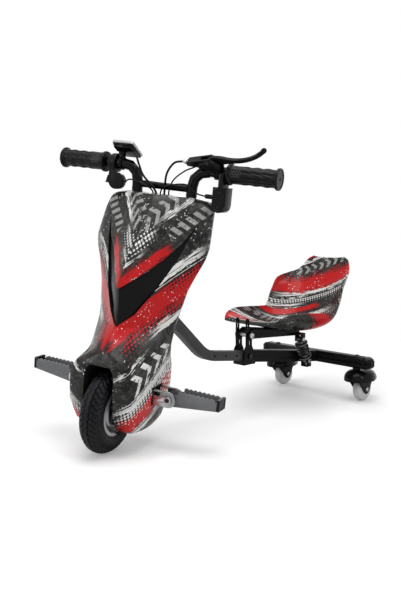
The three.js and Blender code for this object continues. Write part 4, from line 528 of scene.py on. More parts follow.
def printed_shell(name, film, run, two_sided):
    """The printed gloss film; run gives the fields Around and Up, and each flank has its own wear."""
    material, tree, shader = new_material(name)
    place = attribute(tree, "straight", "Vector")
    x, y, z = separate(tree, place)
    around, up = run(x, y, z)
    drawn = use_group(tree, film, Around=around, Up=up, Side=x.rises(-0.0005, 0.0005) if two_sided else 0.0)
    handled = use_group(tree, HANDLED, Place=place, Scale=FILM_SCALE, Amount=0.25)
    bare = attribute(tree, "bare")
    tone = blend(tree, handled["Scuff"] * 0.25, drawn["Color"], FILM_SCUFF)
    plug(tree, shader.inputs["Base Color"], blend(tree, bare, tone, BARE_INSIDE))
    rough = handled["Unevenness"].math("MULTIPLY_ADD", 0.10, 0.20) + drawn["Ink"] * 0.06
    plug(tree, shader.inputs["Roughness"], rough.math("ADD", bare * 0.3, clamp=True))
    shader.inputs["Specular IOR Level"].default_value = 0.16
    shader.inputs["Coat Weight"].default_value = 0.06
    shader.inputs["Coat Roughness"].default_value = 0.06
    relief(tree, shader, noise(tree, place, 90.0, 2.0), 0.0002)
    return material


SHELL_PRINT = printed_shell("printed_shell", film_group("fairing_film", 34, draw_fairing), fairing_run, True)
SEAT_PRINT = printed_shell("printed_seat", film_group("seat_film", 24, draw_seat), seat_run, False)
GLOSS_BLACK = finish_of("gloss_black", 0.0040, 0.16, (400, 0.00002), 0.2, dusty=0.08, shine=0.10)
BLACK_COAT = finish_of("black_powder_coat", 0.0040, 0.30, (900, 0.00005), 0.3, dusty=0.12, shine=0.09)
GREY_COAT = finish_of("grey_powder_coat", 0.042, 0.42, (900, 0.00006), 0.25, dusty=0.1, shine=0.20)
PEG_COAT = finish_of(
    "peg_grey_coat", (0.150, 0.154, 0.160), 0.42, (800, 0.00007), 0.4, metallic=0.25, dusty=0.1, shine=0.3
)
# Plated steel; its near-black uneven patches (shade 0.06) are painted reflections
BRACKET_STEEL_PAINTED_REFLECTIONS = finish_of(
    "bracket_steel_painted_reflections", (0.56, 0.56, 0.57), 0.24, (240, 0.00010), 0.4, metallic=1.0, shade=0.06, dusty=0.1
)
RIM_PAINT = finish_of("silver_rim_paint", (0.50, 0.50, 0.51), 0.38, (600, 0.00003), 0.5, metallic=0.25, shine=0.4)
CAST_METAL = finish_of("cast_aluminium", (0.36, 0.36, 0.37), 0.38, (520, 0.00010), 0.4, metallic=1.0)
BRIGHT_STEEL = finish_of("zinc_plated_steel", (0.46, 0.46, 0.48), 0.28, (300, 0.00003), 0.3, metallic=1.0)
BLACK_STEEL = finish_of("blackened_screw_steel", (0.022, 0.022, 0.024), 0.30, (600, 0.00003), 0.5, metallic=0.8)
TYRE_RUBBER = finish_of("tyre_rubber", (0.0042, 0.0038, 0.0058), 0.44, (350, 0.00014), 0.4, dusty=0.05, shine=0.17)
# Light grey for the raised grip cells: partly worn rubber, partly a painted highlight on their lines
WORN_RUBBER_AND_HIGHLIGHT = finish_of("worn_grip_rubber_and_painted_highlight", (0.090, 0.090, 0.092), 0.45, (900, 0.00006), 0.6, dusty=0.06, shine=0.2)
GRIP_RUBBER = finish_of("grip_rubber", (0.0045, 0.0045, 0.0048), 0.36, (900, 0.00006), 0.3, dusty=0.06, shine=0.14)
CABLE_SHEATH = finish_of("cable_sheath", (0.0045, 0.0045, 0.0050), 0.30, (600, 0.00003), 0.2, dusty=0.05, shine=0.12)
CONTROL_PLASTIC = finish_of("control_plastic", 0.0045, 0.30, (1500, 0.00005), 0.3, dusty=0.06, shine=0.12)
BUTTON_GREY = finish_of("button_grey", (0.20, 0.20, 0.21), 0.45, (900, 0.00003), 0.4)
BUTTON_RED = finish_of("button_red", (0.40, 0.015, 0.015), 0.4, (900, 0.00003), 0.3)
DISPLAY_METAL = finish_of("display_plate_metal", (0.72, 0.72, 0.71), 0.24, (600, 0.00002), 0.3, metallic=0.5)
RIM_METAL = finish_of("display_rim_metal", 0.50, 0.30, (600, 0.00002), 0.3, metallic=0.3)
DARK_WINDOW = finish_of("dark_window", (0.006, 0.006, 0.007), 0.10, (300, 0.00001), 0.2, shine=0.4)
BATTERY_WRAP = finish_of("battery_wrap", (0.02, 0.09, 0.30), 0.35, (120, 0.0002), 0.2)
SPRING_COAT = finish_of("spring_gloss_coat", 0.005, 0.20, (500, 0.00003), 0.3, shine=0.25)
DAMPER_METAL = finish_of("damper_grey_metal", (0.13, 0.13, 0.14), 0.30, (500, 0.00004), 0.3, metallic=0.8)
CASTER_PLASTIC = finish_of(
    "caster_polyurethane", (0.80, 0.81, 0.80), 0.20, (300, 0.00005), 0.5, dusty=0.4, Transmission_Weight=0.30, IOR=1.5
)


# ---------------------------------------------------------------- making pieces

SIDES = ((1, "left"), (-1, "right"))


def dress(piece, node_name, replaced=()):
    """The piece rides on the body of its node, and the nodes it replaces are hidden."""
    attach(piece, NODES[node_name]["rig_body"])
    if replaced:
        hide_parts(*replaced)
    return piece


def turns(count):
    """Angles of as many even steps round a circle."""
    return [2 * pi * k / count for k in range(count)]


def edit(mesh, work_on):
    """Runs a function on the mesh opened for editing."""
    work = bmesh.new()
    work.from_mesh(mesh)
    work_on(work)
    work.to_mesh(mesh)
    work.free()


def smooth_by_angle(mesh, degrees):
    """Smooth faces, with edges sharper than this kept sharp."""

    def shade(work):
        for face in work.faces:
            face.smooth = True
        for edge in work.edges:
            if len(edge.link_faces) == 2:
                edge.smooth = edge.calc_face_angle(0.0) < radians(degrees)

    edit(mesh, shade)


def outward(mesh):
    """Joins points that meet and turns every face outward."""

    def turn_out(work):
        bmesh.ops.remove_doubles(work, verts=work.verts, dist=1e-6)
        bmesh.ops.recalc_face_normals(work, faces=work.faces)

    edit(mesh, turn_out)


def piece_from(name, vertices, faces, material, smooth):
    """A closed piece that faces outward, with edges sharper than so many degrees kept sharp."""
    mesh = bpy.data.meshes.new(name)
    mesh.from_pydata([tuple(v) for v in vertices], [], faces)
    mesh.validate()
    mesh.materials.append(material)
    outward(mesh)
    smooth_by_angle(mesh, smooth)
    return linked(name, mesh)


def skin(name, rings, material, closed=False, smooth=35):
    """A skin over rings of as many points; the last joins the first, or both ends are capped."""
    rows, count = len(rings), len(rings[0])
    faces = []
    for r in range(rows if closed else rows - 1):
        q = (r + 1) % rows
        for k in range(count):
            n = (k + 1) % count
            faces.append((r * count + k, r * count + n, q * count + n, q * count + k))
    if not closed:
        faces += [tuple(reversed(range(count))), tuple(range((rows - 1) * count, rows * count))]
    return piece_from(name, [v for ring in rings for v in ring], faces, material, smooth)


def finished(piece):
    """The evaluated shape as a plain mesh, with the modifiers gone."""
    made = bpy.data.meshes.new_from_object(piece.evaluated_get(bpy.context.evaluated_depsgraph_get()))
    piece.modifiers.clear()
    piece.data = made
    return piece


def rounded(piece, width, segments, degrees):
    """Rounds the edges sharper than so many degrees."""
    rounding = piece.modifiers.new("rounding", "BEVEL")
    rounding.width, rounding.segments = width, segments
    rounding.limit_method, rounding.angle_limit = "ANGLE", radians(degrees)
    return finished(piece)


# Edges of the nodes sharper than this, in degrees, are rounded or kept sharp
SHARP = 32


def refined(node_name, name, material, bevel=0.0, flat=0.5):
    """A merged copy of a node, faces within so many degrees made flat, with fine rounded edges."""

    def clean(work):
        bmesh.ops.remove_doubles(work, verts=work.verts, dist=2e-6)
        bmesh.ops.dissolve_limit(work, angle_limit=radians(flat), verts=work.verts, edges=work.edges)

    mesh = NODES[node_name].data.copy()
    mesh.materials.clear()
    mesh.materials.append(material)
    edit(mesh, clean)
    for layer in list(mesh.uv_layers):
        mesh.uv_layers.remove(layer)
    piece = linked(name, mesh)
    if bevel:
        rounded(piece, bevel, 2, SHARP)
    smooth_by_angle(piece.data, SHARP)
    return dress(piece, node_name, [node_name])


def straight_places(piece, inverse):
    """Stores where each point is when the steering stands straight, for the printed film."""
    places = piece.data.attributes.new("straight", "FLOAT_VECTOR", "POINT")
    values = np.array([inverse @ v.co for v in piece.data.vertices], np.float32)
    places.data.foreach_set("vector", values.ravel())


def tube(name, points, radius, sides, material):
    """A round tube along the points, closed at its ends."""
    points = [Vector(p) for p in points]
    rings = []
    normal = (points[1] - points[0]).normalized().orthogonal().normalized()
    for i, point in enumerate(points):
        ahead = (points[min(i + 1, len(points) - 1)] - points[max(i - 1, 0)]).normalized()
        normal = (normal - ahead * normal.dot(ahead)).normalized()
        other = ahead.cross(normal)
        rings.append([point + (normal * cos(t) + other * sin(t)) * radius for t in turns(sides)])
    return skin(name, rings, material, smooth=40)


def between(a, b, c, d, t):
    """The place a share of the way from b to c on a smooth curve through four points."""
    return 0.5 * (2 * b + (c - a) * t + (2 * a - 5 * b + 4 * c - d) * t * t + (3 * b - a - 3 * c + d) * t**3)


def with_ends(points):
    """The points as arrays, with one more beyond each end."""
    points = [np.array(p, float) for p in points]
    return [2 * points[0] - points[1], *points, 2 * points[-1] - points[-2]]


def smooth_route(points, steps):
    """Points on a smooth curve through the given ones."""
    ends = with_ends(points)
    route = [between(*ends[i : i + 4], k / steps) for i in range(len(points) - 1) for k in range(steps)]
    return [*route, ends[-2]]


def smooth_loop(points, steps=5):
    """Points on a smooth closed curve through the given ones."""
    loop = [np.array(p, float) for p in (points[-1], *points, *points[:2])]
    return [tuple(between(*loop[i : i + 4], k / steps)) for i in range(len(points)) for k in range(steps)]


# Radius, then the places each cable passes, in millimetres on the steering unit
CABLES = {
    "brake_cable": (
        2.6, [[52, 157, 674], [34, 150, 668], [17, 152, 644], [10, 160, 615], [8, 165, 590], [8, 166, 566]]
    ),
    "brake_switch_wire": (
        1.8, [[84, 159.2, 663.7], [62, 152, 652], [36, 152, 630], [22, 161, 606], [19, 166, 588], [19, 168, 566]]
    ),
    "switch_wire": (
        1.8, [[116.5, 159.9, 600.5], [110, 158.6, 601], [96, 148, 606], [72, 146, 622], [28, 147, 616], [2, 159, 603],
              [-2, 166, 566]]
    ),
    "display_wire": (
        2.6, [[-85, 160, 685], [-80, 160, 684.5], [-71, 156, 677], [-58, 150, 656], [-44, 150, 632], [-20, 160, 606],
              [-12, 166, 588], [-12, 168, 566]]
    ),
    "throttle_wire": (
        1.8, [[-102.8, 165, 612], [-98, 163.6, 612], [-90, 151, 615], [-72, 144, 620], [-38, 152, 610],
              [-22, 163, 596], [-21, 168, 566]]
    ),
}


def cables():
    for name, (radius, places) in CABLES.items():
        route = [turned(*p) for p in smooth_route(places, 6)]
        length = sum((b - a).length for a, b in zip(route, route[1:]))
        piece = dress(tube(name + "_sheath", route, radius * MM, 14, CABLE_SHEATH), name, [name])


# ---------------------------------------------------------------- wheel, grips and seat

# Radii of the tyre, of its section and of its bead, half the bead's width, and lugs on a side
TYRE_OUTER, TYRE_SECTION, TYRE_BEAD, TYRE_BEAD_HALF, TREAD_LUGS = 0.100, 0.027, 0.0503, 0.0187, 42


def tread_depth(angle, turn):
    """How deep the tread is cut at an angle round the wheel and a turn across its section."""
    phase = angle * TREAD_LUGS / (2 * pi) + (0.5 if turn > 0 else 0.0)
    zigzag = abs(phase % 1.0 - 0.5) * 2 - 0.5
    place = abs(turn)
    if abs(place - 0.25 - 0.10 * zigzag) < 0.045:
        return 0.0026
    if 0.44 < place < 1.30:
        wave = (phase + 0.42 * sin(place * 5.2)) % 1.0
        return 0.0025 * min(max((0.40 - wave) / 0.06, 0.0), max(wave / 0.06, 0.0), 1.0)
    if 1.34 < place < 1.52:
        return 0.0007 if (phase * 2) % 1.0 < 0.4 else 0.0
    return 0.0007 if 1.62 < place < 1.68 or 1.96 < place < 2.02 else 0.0


def front_tyre():
    """Tyre with wavy shoulder lugs, two zigzag grooves and ribbed sides."""
    rows, steps, start = 66, 504, pi * 0.83
    rings = []
    for angle in turns(steps):
        section = []
        for k in range(rows + 1):
            turn = -start + 2 * start * k / rows
            size = TYRE_SECTION - tread_depth(angle, turn)
            section.append((TYRE_OUTER - TYRE_SECTION + size * cos(turn), size * sin(turn)))
        section += [(TYRE_BEAD, TYRE_BEAD_HALF), (TYRE_BEAD, -TYRE_BEAD_HALF)]
        rings.append([
            TURNED @ (HUB + Vector((across, radius * cos(angle), radius * sin(angle))))
            for radius, across in section
        ])
    piece = skin("front_tyre_tread", rings, TYRE_RUBBER, closed=True, smooth=30)
    dress(piece, "front_tyre", ["front_tyre"])


def valve_stem():
    path = [turned(19, 0, 49.5), turned(25, 0, 51.5), turned(30, 0, 55.5), turned(34, 0, 59.5)]
    dress(tube("tyre_valve", smooth_route(path, 4), 2.4 * MM, 14, TYRE_RUBBER), "front_rim")


GRIP_RADIUS, GRIP_FLANGE, GRIP_INNER, GRIP_OUTER, GRIP_BORE = 0.0215, 0.0250, 0.163, 0.287, 0.0114
GRIP_LENGTH = GRIP_OUTER - GRIP_INNER


def grip_size(along, turn):
    """Radius of the grip's skin: two flanges, a plain ring, and wavy flutes with finger swells."""
    end = min(along, GRIP_LENGTH - along)
    if end < 0.0065:
        return GRIP_FLANGE - 0.0010 * (1 - min(end, 0.0018) / 0.0018) ** 2
    if end < 0.0085:
        return GRIP_FLANGE + (GRIP_RADIUS - GRIP_FLANGE) * (end - 0.0065) / 0.002
    if along < 0.034:
        return GRIP_RADIUS - 0.0004
    wave = sin((along - 0.034) * 2 * pi / 0.0265)
    flute = max(cos(turn * 9 + 0.35 * wave), 0.0) ** 0.7
    fade = min((along - 0.034) / 0.004, (GRIP_LENGTH - 0.0085 - along) / 0.003, 1.0)
    return GRIP_RADIUS - (0.0019 * flute + 0.0007 * (1 - wave)) * max(fade, 0.0)


def grip(side, label):
    """Ribbed rubber grip; its inner end slips over the bar, its outer end is dished round a vent."""

    def ring(along, size=None):
        made = []
        for turn in turns(108):
            radius = grip_size(along, turn) if size is None else size
            out = Vector((side * (GRIP_INNER + along), radius * cos(turn), radius * sin(turn)))
            made.append(TURNED @ (BAR + out))
        return made

    rows = 92
    rings = [ring(GRIP_LENGTH - 0.0045, GRIP_BORE), ring(0.0, GRIP_BORE)]
    rings += [ring(GRIP_LENGTH * i / rows) for i in range(rows + 1)]
    rings += [ring(GRIP_LENGTH, GRIP_FLANGE - 0.0042), ring(GRIP_LENGTH - 0.0012, GRIP_FLANGE - 0.0052)]
    rings += [ring(GRIP_LENGTH - 0.0010, 0.0042), ring(GRIP_LENGTH - 0.0038, 0.0038)]
    dress(skin(f"grip_{label}_rubber", rings, GRIP_RUBBER, smooth=38), f"grip_{label}", [f"grip_{label}"])


# Bucket seat: y and z of the middle, y and z of the edge, half width, as shares of the sizes below
SEAT_STATIONS = [
    (0, 0.16, 0.011, 0.165, 0.736), (0.014, 0.19, 0.028, 0.22, 0.77), (0.044, 0.195, 0.064, 0.27, 0.8),
    (0.147, 0.13, 0.161, 0.31, 0.845), (0.299, 0.055, 0.299, 0.305, 0.89), (0.521, 0, 0.543, 0.275, 0.97),
    (0.659, 0.035, 0.62, 0.29, 1), (0.753, 0.16, 0.687, 0.51, 1), (0.825, 0.35, 0.742, 0.69, 0.95),
    (0.892, 0.55, 0.848, 0.76, 0.84), (0.942, 0.73, 0.931, 0.815, 0.72), (0.983, 0.91, 0.992, 0.95, 0.6),
    (1, 0.995, 1.022, 1.03, 0.52),
]

# Seat's length, front, half width, base, rise and wall in millimetres
SEAT_LENGTH, SEAT_FRONT, SEAT_HALF, SEAT_BASE, SEAT_RISE, SEAT_WALL = 361, 492, 125, 214, 200, 5


def seat_line(columns, share):
    """The place at a share of the way along a smooth curve through the stations."""
    ends = with_ends(columns)
    place = min(max(share, 0.0), 1.0) * (len(columns) - 1)
    i = min(int(place), len(columns) - 2)
    return between(*ends[i : i + 4], place - i)


def seat_place(y, z, width=0.0):
    return width * SEAT_HALF, SEAT_FRONT + y * SEAT_LENGTH, SEAT_BASE + z * SEAT_RISE


SEAT_MIDDLE = [seat_place(y, z) for y, z, *_ in SEAT_STATIONS]
SEAT_EDGE = [seat_place(*edge) for _, _, *edge in SEAT_STATIONS]


def seat_point(share, across):
    """A place on the seat's top at a share of its run, from -1 to 1 across, in millimetres."""
    middle, edge = seat_line(SEAT_MIDDLE, share), seat_line(SEAT_EDGE, share)
    side = abs(across)
    point = middle + (edge - middle) * side**2.7
    spread = side * (1 - 0.12 * side**6) / 0.88
    point[0] = copysign(edge[0] * min(spread, 1), across)
    # The backrest's top corners are rounded off
    corner = 8 * (max(share - 0.93, 0) / 0.07 * max(side - 0.76, 0) / 0.24) ** 2
    return point - np.array((copysign(corner, across), 0.4 * corner, corner))


def seat():
    """The bucket as a shell of even wall with a rounded rim."""
    rows, columns = 78, 44
    top = np.array([[seat_point(r / rows, 2 * c / columns - 1) for c in range(columns + 1)] for r in range(rows + 1)])
    normal = np.cross(np.gradient(top, axis=1), np.gradient(top, axis=0))
    normal /= np.linalg.norm(normal, axis=2, keepdims=True)
    below = top - normal * SEAT_WALL
    wide, total = columns + 1, (rows + 1) * (columns + 1)
    faces = []
    for r in range(rows):
        for c in range(columns):
            a, b, d, e = r * wide + c, r * wide + c + 1, (r + 1) * wide + c + 1, (r + 1) * wide + c
            faces += [(a, b, d, e), (total + e, total + d, total + b, total + a)]
    edges = [(r * wide + c, (r + 1) * wide + c) for r in range(rows) for c in (0, columns)]
    edges += [(r * wide + c, r * wide + c + 1) for c in range(columns) for r in (0, rows)]
    faces += [(a, b, total + b, total + a) for a, b in edges]
    places = [rear(*p) for p in (*top.reshape(-1, 3), *below.reshape(-1, 3))]
    piece = rounded(piece_from("bucket_seat_shell", places, faces, SEAT_PRINT, 50), 0.0018, 3, 60)
    smooth_by_angle(piece.data, 50)
    straight_places(piece, REAR.inverted())
    dress(piece, "seat_pan", ["seat_pan"])


# Shock absorber, in millimetres: its spring winds between the seats on the two halves
SHOCK_FOOT, SHOCK_TOP = Vector((40, 702, 120)), Vector((40, 672, 187))
SPRING_WIRE, SPRING_RADIUS, SPRING_TURNS, SPRING_STEPS = 5.4, 16.0, 4, 32
LOWER_SPRING_SEAT, UPPER_SPRING_SEAT, SPRING_GAP = 8 + 3.5 * 2.5, 8 + 3.5 * 2.2, 0.3


def coil_spring():
    """One unbroken wound wire that ends just off both spring seats."""
    run = (SHOCK_TOP - SHOCK_FOOT).normalized()
    turn = Quaternion(Vector((0, 0, 1)).cross(run).normalized(), Vector((0, 0, 1)).angle(run))
    low = LOWER_SPRING_SEAT + SPRING_WIRE / 2 + SPRING_GAP
    high = (SHOCK_TOP - SHOCK_FOOT).length - UPPER_SPRING_SEAT - SPRING_WIRE / 2 - SPRING_GAP
    points = []
    for i in range(SPRING_STEPS * SPRING_TURNS + 1):
        share = i / (SPRING_STEPS * SPRING_TURNS)
        angle = 2 * pi * SPRING_TURNS * share
        round_about = (SPRING_RADIUS * cos(angle), SPRING_RADIUS * sin(angle))
        points.append(rear(*(SHOCK_FOOT + turn @ Vector((*round_about, low + (high - low) * share)))))
    wound = tube("shock_spring_coil", points, SPRING_WIRE / 2 * MM, 16, SPRING_COAT)
    piece = dress(wound, "shock_spring", ["shock_spring"])
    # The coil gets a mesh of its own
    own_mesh(piece)


# How far off another wall is looked for, in metres, and how many of five looks must meet one
INSIDE_REACH, INSIDE_HITS = 0.26, 2


def fairing(node_name, name, walls):
    """One moulding of the fairing; faces that look at another wall are its bare inside."""
    piece = refined(node_name, name, SHELL_PRINT, bevel=0.0012, flat=0.2)
    mesh = piece.data
    smooth_by_angle(mesh, 28)
    straight_places(piece, STRAIGHT)
    values = []
    for face in mesh.polygons:
        start, normal = face.center + face.normal * 0.0006, face.normal
        side = normal.orthogonal().normalized()
        looks = [normal, *(normal + Quaternion(normal, t) @ side * 0.8 for t in turns(4))]
        hits = [[wall.ray_cast(start, look.normalized(), INSIDE_REACH)[0] for wall in walls] for look in looks]
        seen = sum(any(hit is not None for hit in row) for row in hits)
        values.append(1.0 if seen >= INSIDE_HITS else 0.0)
    mesh.attributes.new("bare", "FLOAT", "FACE").data.foreach_set("value", values)


# ---------------------------------------------------------------- repeated fine pieces


def geometry_group(name, *sizes):
    """A geometry node group with named sizes and a finish, and its two ends."""
    shape = {"Geometry": "Geometry"}
    return group(name, {**shape, **dict.fromkeys(sizes, "Float"), "Finish": "Material"}, shape, "Geometry")


def on_points(tree, given, end, shape):
    """Puts the shape on every point along the way it faces, as real faces with the finish."""
    facing = node(tree, "GeometryNodeInputNamedAttribute", {"Name": "facing"}, data_type="FLOAT_VECTOR")
    turn = node(tree, "FunctionNodeAlignRotationToVector", {"Vector": facing}, axis="Z")
    copies = {"Points": given["Geometry"], "Instance": shape, "Rotation": turn}
    real = node(tree, "GeometryNodeRealizeInstances", {0: node(tree, "GeometryNodeInstanceOnPoints", copies)})
    plug(tree, end.inputs[0], node(tree, "GeometryNodeSetMaterial", {"Geometry": real, "Material": given["Finish"]}))
    return tree


def screw_tree():
    """A domed screw head with a hexagon recess."""
    tree, given, end = geometry_group("screw_heads", "Head Radius", "Head Height")
    radius, height = given["Head Radius"], given["Head Height"]
    dome = node(tree, "GeometryNodeMeshUVSphere", {"Segments": 20, "Rings": 12, "Radius": radius})
    flat = combine(tree, 1.0, 1.0, height.math("DIVIDE", radius))
    head = node(tree, "GeometryNodeTransform", {"Geometry": dome, "Scale": flat})
    recess = node(tree, "GeometryNodeMeshCylinder", {"Vertices": 6, "Radius": radius * 0.46, "Depth": height})
    raised = node(tree, "GeometryNodeTransform", {"Geometry": recess, "Translation": combine(tree, 0.0, 0.0, height)})
    drilled = node(tree, "GeometryNodeMeshBoolean", {"Mesh 1": head, "Mesh 2": raised}, operation="DIFFERENCE")
    return on_points(tree, given, end, drilled)


def cell_tree():
    """A raised hexagon line."""
    tree, given, end = geometry_group("raised_cells", "Cell Radius", "Line Radius")
    cell, line = (
        node(tree, "GeometryNodeCurvePrimitiveCircle", {"Resolution": 6, "Radius": given[size]})
        for size in ("Cell Radius", "Line Radius")
    )
    return on_points(tree, given, end, node(tree, "GeometryNodeCurveToMesh", {"Curve": cell, "Profile Curve": line}))


SCREW_TREE, CELL_TREE = screw_tree(), cell_tree()


def copies_at(name, node_name, places, tree, values):
    """Copies at (place, facing) pairs in metres in the row frame, on the body of a node."""
    mesh = bpy.data.meshes.new(name)
    mesh.from_pydata([tuple(p) for p, _ in places], [], [])
    facing = mesh.attributes.new("facing", "FLOAT_VECTOR", "POINT")
    facing.data.foreach_set("vector", [c for _, f in places for c in f])
    piece = linked(name, mesh)
    modifier = piece.modifiers.new(tree.name, "NODES")
    modifier.node_group = tree
    for item in tree.interface.items_tree:
        if item.item_type == "SOCKET" and item.in_out == "INPUT" and item.name in values:
            modifier[item.identifier] = values[item.name]
    finished(piece)
    outward(piece.data)
    return dress(piece, node_name)


def screws(name, node_name, places, radius, height, finish=BLACK_STEEL):
    values = {"Head Radius": radius, "Head Height": height, "Finish": finish}
    smooth_by_angle(copies_at(name, node_name, places, SCREW_TREE, values).data, 35)


def rounded_outline(width, length, corner, steps=5):
    """A rectangle about the middle with round corners."""
    points = []
    for cx, cy, start in ((1, 1, 0), (-1, 1, 90), (-1, -1, 180), (1, -1, 270)):
        for k in range(steps + 1):
            turn = radians(start + 90 * k / steps)
            x, y = cx * (width / 2 - corner), cy * (length / 2 - corner)
            points.append((x + corner * cos(turn), y + corner * sin(turn)))
    return points


def ring_wall(name, node_name, outlines, place, finish, closed=False):
    """A skin over outlines of as many points; each is (points, height), in millimetres."""
    rings = [[place(x, y, height) for x, y in points] for points, height in outlines]
    return dress(skin(name, rings, finish, closed), node_name)


def plate(name, node_name, outline, steps, place, finish=CONTROL_PLASTIC, centre=(0, 0)):
    """A plate whose outline shrinks to a share of itself at each height."""
    cx, cy = centre
    rings = [([(cx + (x - cx) * share, cy + (y - cy) * share) for x, y in outline], height) for share, height in steps]
    return ring_wall(name, node_name, rings, place, finish)


# Display: its middle and its lean, from level, towards the rider
DISPLAY = Vector((-109, 177, 689)) * MM
DISPLAY_TURN = Quaternion((1, 0, 0), -radians(30))


def on_display(x, y, z):
    """A place in the display's own frame, in millimetres, in the row frame."""
    return TURNED @ (DISPLAY + DISPLAY_TURN @ (Vector((x, y, z)) * MM))


def display_trim():
    """Silver rim round the display, its dark window and the charge dots."""
    outer, slim = rounded_outline(59, 61, 6), rounded_outline(57.4, 59.4, 5.4)
    lip, inner, ledge = rounded_outline(47, 49, 3.4), rounded_outline(45.6, 47.6, 3), rounded_outline(50, 52, 4)
    rim = [(slim, -0.4), (outer, 0.2), (outer, 4.9), (slim, 5.9), (lip, 5.9), (inner, 5.3), (inner, 3.2)]
    rim += [(ledge, 3.2), (ledge, -0.4)]
    ring_wall("display_rim", "display_plate", rim, on_display, RIM_METAL, closed=True)
    window = [(x, y - 6) for x, y in rounded_outline(30, 20, 2.5)]
    ring_wall("display_window", "display_housing", [(window, 4.2), (window, 5.35)], on_display, DARK_WINDOW)
    for k in range(4):
        dot = [(x - 9 + 6 * k, y - 6) for x, y in rounded_outline(2.6, 2.6, 1.29, 3)]
        ring_wall(f"charge_dot_{k}", "display_housing", [(dot, 5.2), (dot, 5.6)], on_display, BUTTON_RED)


def facing_out(direction):
    """A direction on the steering unit as it stands straight, in the row frame."""
    return (TURNED.to_3x3() @ Vector(direction)).normalized()


DIAGONAL = sqrt(0.5)


def lever_place(x, reach, normal):
    """A place on the brake lever's leaning plane, in millimetres, in the row frame."""
    place = Vector((x, -(reach + normal) * DIAGONAL, (reach - normal) * DIAGONAL))
    return TURNED @ (BAR + place * MM)


def lever_perch():
    """Two domed cheeks that hold the lever's pivot, one on each side of its slot."""
    outline = smooth_loop([
        (94, 27), (100, 34), (112, 41), (124, 45), (138, 42), (149, 33), (151, 18), (146, 6), (132, 5), (118, 12),
        (104, 20), (95, 22),
    ])
    dome = [(0.97, 5.4), (1.0, 6.2), (1.0, 9.6), (0.965, 11.6), (0.88, 13.2), (0.70, 14.4), (0.40, 15.0)]
    for label, sign in (("front", 1), ("back", -1)):
        steps = [(share, sign * height) for share, height in dome]
        plate(f"lever_perch_{label}", "brake_bracket", outline, steps, lever_place, centre=(124, 26))


# Middle of the switch pod, sideways and up, in millimetres
POD_SIDE, POD_HEIGHT = 154, 595


def switch_cover():
    """Raised cover plate on the front of the switch pod, with a stepped edge."""

    def on_pod(x, z, out):
        return turned(POD_SIDE + x, 150.4 - out, POD_HEIGHT + z)

    steps = [(1.0, -0.3), (1.0, 1.4), (0.93, 2.2), (0.86, 2.2), (0.82, 1.3), (0.4, 1.3)]
    plate("switch_pod_cover", "switch_pod", rounded_outline(31, 55, 12), steps, on_pod)


# Caster, in millimetres: sideways place, stem, middle of the hood, axle, and the hood's sizes
CASTER_SIDE, CASTER_STEM, HOOD_MIDDLE, CASTER_AXLE = 148, (800, 136), 818, (830, 35)
HOOD_HALF_WIDTH, HOOD_HALF_LENGTH, BEAK = 41, 53, 24

# Height over the ground, and the shares of width, length and beak: the inside, then the outside
HOOD_ROWS = [
    (91.5, 0.28, 0.28, 0.0), (89.0, 0.50, 0.50, 0.0), (84, 0.78, 0.78, 0.2), (76, 0.90, 0.90, 0.6),
    (68, 0.93, 0.93, 0.88), (63, 0.93, 0.935, 0.93),
    (63, 1.0, 1.0, 1.0), (70, 1.02, 1.01, 0.96), (78, 0.99, 0.97, 0.70), (85, 0.90, 0.88, 0.40),
    (90, 0.76, 0.74, 0.16), (93.5, 0.55, 0.55, 0.0), (95, 0.30, 0.30, 0.0),
]


def caster_hood(side, label):
    """Domed hood with a beak behind, and a cheek down each side of the roller."""
    hood = f"caster_hood_{label}"
    rings = []
    for height, width, length, beak in HOOD_ROWS:
        ring = []
        for turn in turns(64):
            back = beak * max(sin(turn), 0) ** 5
            x = side * CASTER_SIDE + HOOD_HALF_WIDTH * width * cos(turn)
            y = HOOD_MIDDLE + HOOD_HALF_LENGTH * length * sin(turn) + BEAK * back
            ring.append(rear(x, y, height - (5.0 * back if height < 80 else 0.0)))
        rings.append(ring)
    dress(skin(f"caster_dome_{label}", rings, GLOSS_BLACK, smooth=50), hood, [hood])
    cheek = smooth_loop(
        [(786, 80), (790, 60), (806, 42), (818, 27), (830, 20.5), (842, 27), (850, 42), (858, 62), (860, 80)], 6
    )
    steps = [(0.96, 0.0), (1.0, 0.6), (1.0, 3.0), (0.94, 3.8), (0.55, 3.8)]
    for name, face in (("outer", 1), ("inner", -1)):
        def on_cheek(y, z, out, face=face):
            return rear(side * CASTER_SIDE + face * (14.4 + out), y, z)

        plate(f"caster_cheek_{label}_{name}", hood, cheek, steps, on_cheek, GLOSS_BLACK, (828, 56))


def grip_cells(side, label):
    """Raised hexagon lines near the inner end of the grip, front and back, in a lighter rubber that is partly wear and
    partly a painted highlight.
    """
    places, pitch = [], 0.0068
    for middle in (168, 348):
        for row in (-1, 0, 1):
            turn = radians(middle + row * 16)
            out = Vector((0, cos(turn), sin(turn)))
            for column in range(4 - abs(row)):
                along = 0.0125 + pitch * (column + 0.5 * abs(row))
                spot = BAR + Vector((side * (GRIP_INNER + along), 0, 0)) + out * (GRIP_RADIUS - 0.0002)
                places.append((TURNED @ spot, facing_out(out)))
    values = {"Cell Radius": 0.0036, "Line Radius": 0.00055, "Finish": WORN_RUBBER_AND_HIGHLIGHT}
    copies_at(f"grip_cells_{label}", f"grip_{label}", places, CELL_TREE, values)


def peg_tip(side, label):
    """Rubber block on the outer end of the peg."""

    def on_end(across, height, out):
        return turned(side * (248 + out), 65 + across, 153 + height)

    steps = [(1.0, -4.0), (1.0, 1.4), (0.93, 2.4), (0.75, 2.4), (0.70, 1.4), (0.3, 1.4)]
    outline = rounded_outline(37.5, 27.5, 3.0)
    plate(f"peg_end_rubber_{label}", f"foot_peg_{label}", outline, steps, on_end, GRIP_RUBBER)


def front_of(node_name):
    """How far forward a node of the steering unit reaches as it stands straight, in millimetres."""
    return min((STRAIGHT @ v.co).y for v in NODES[node_name].data.vertices) / MM


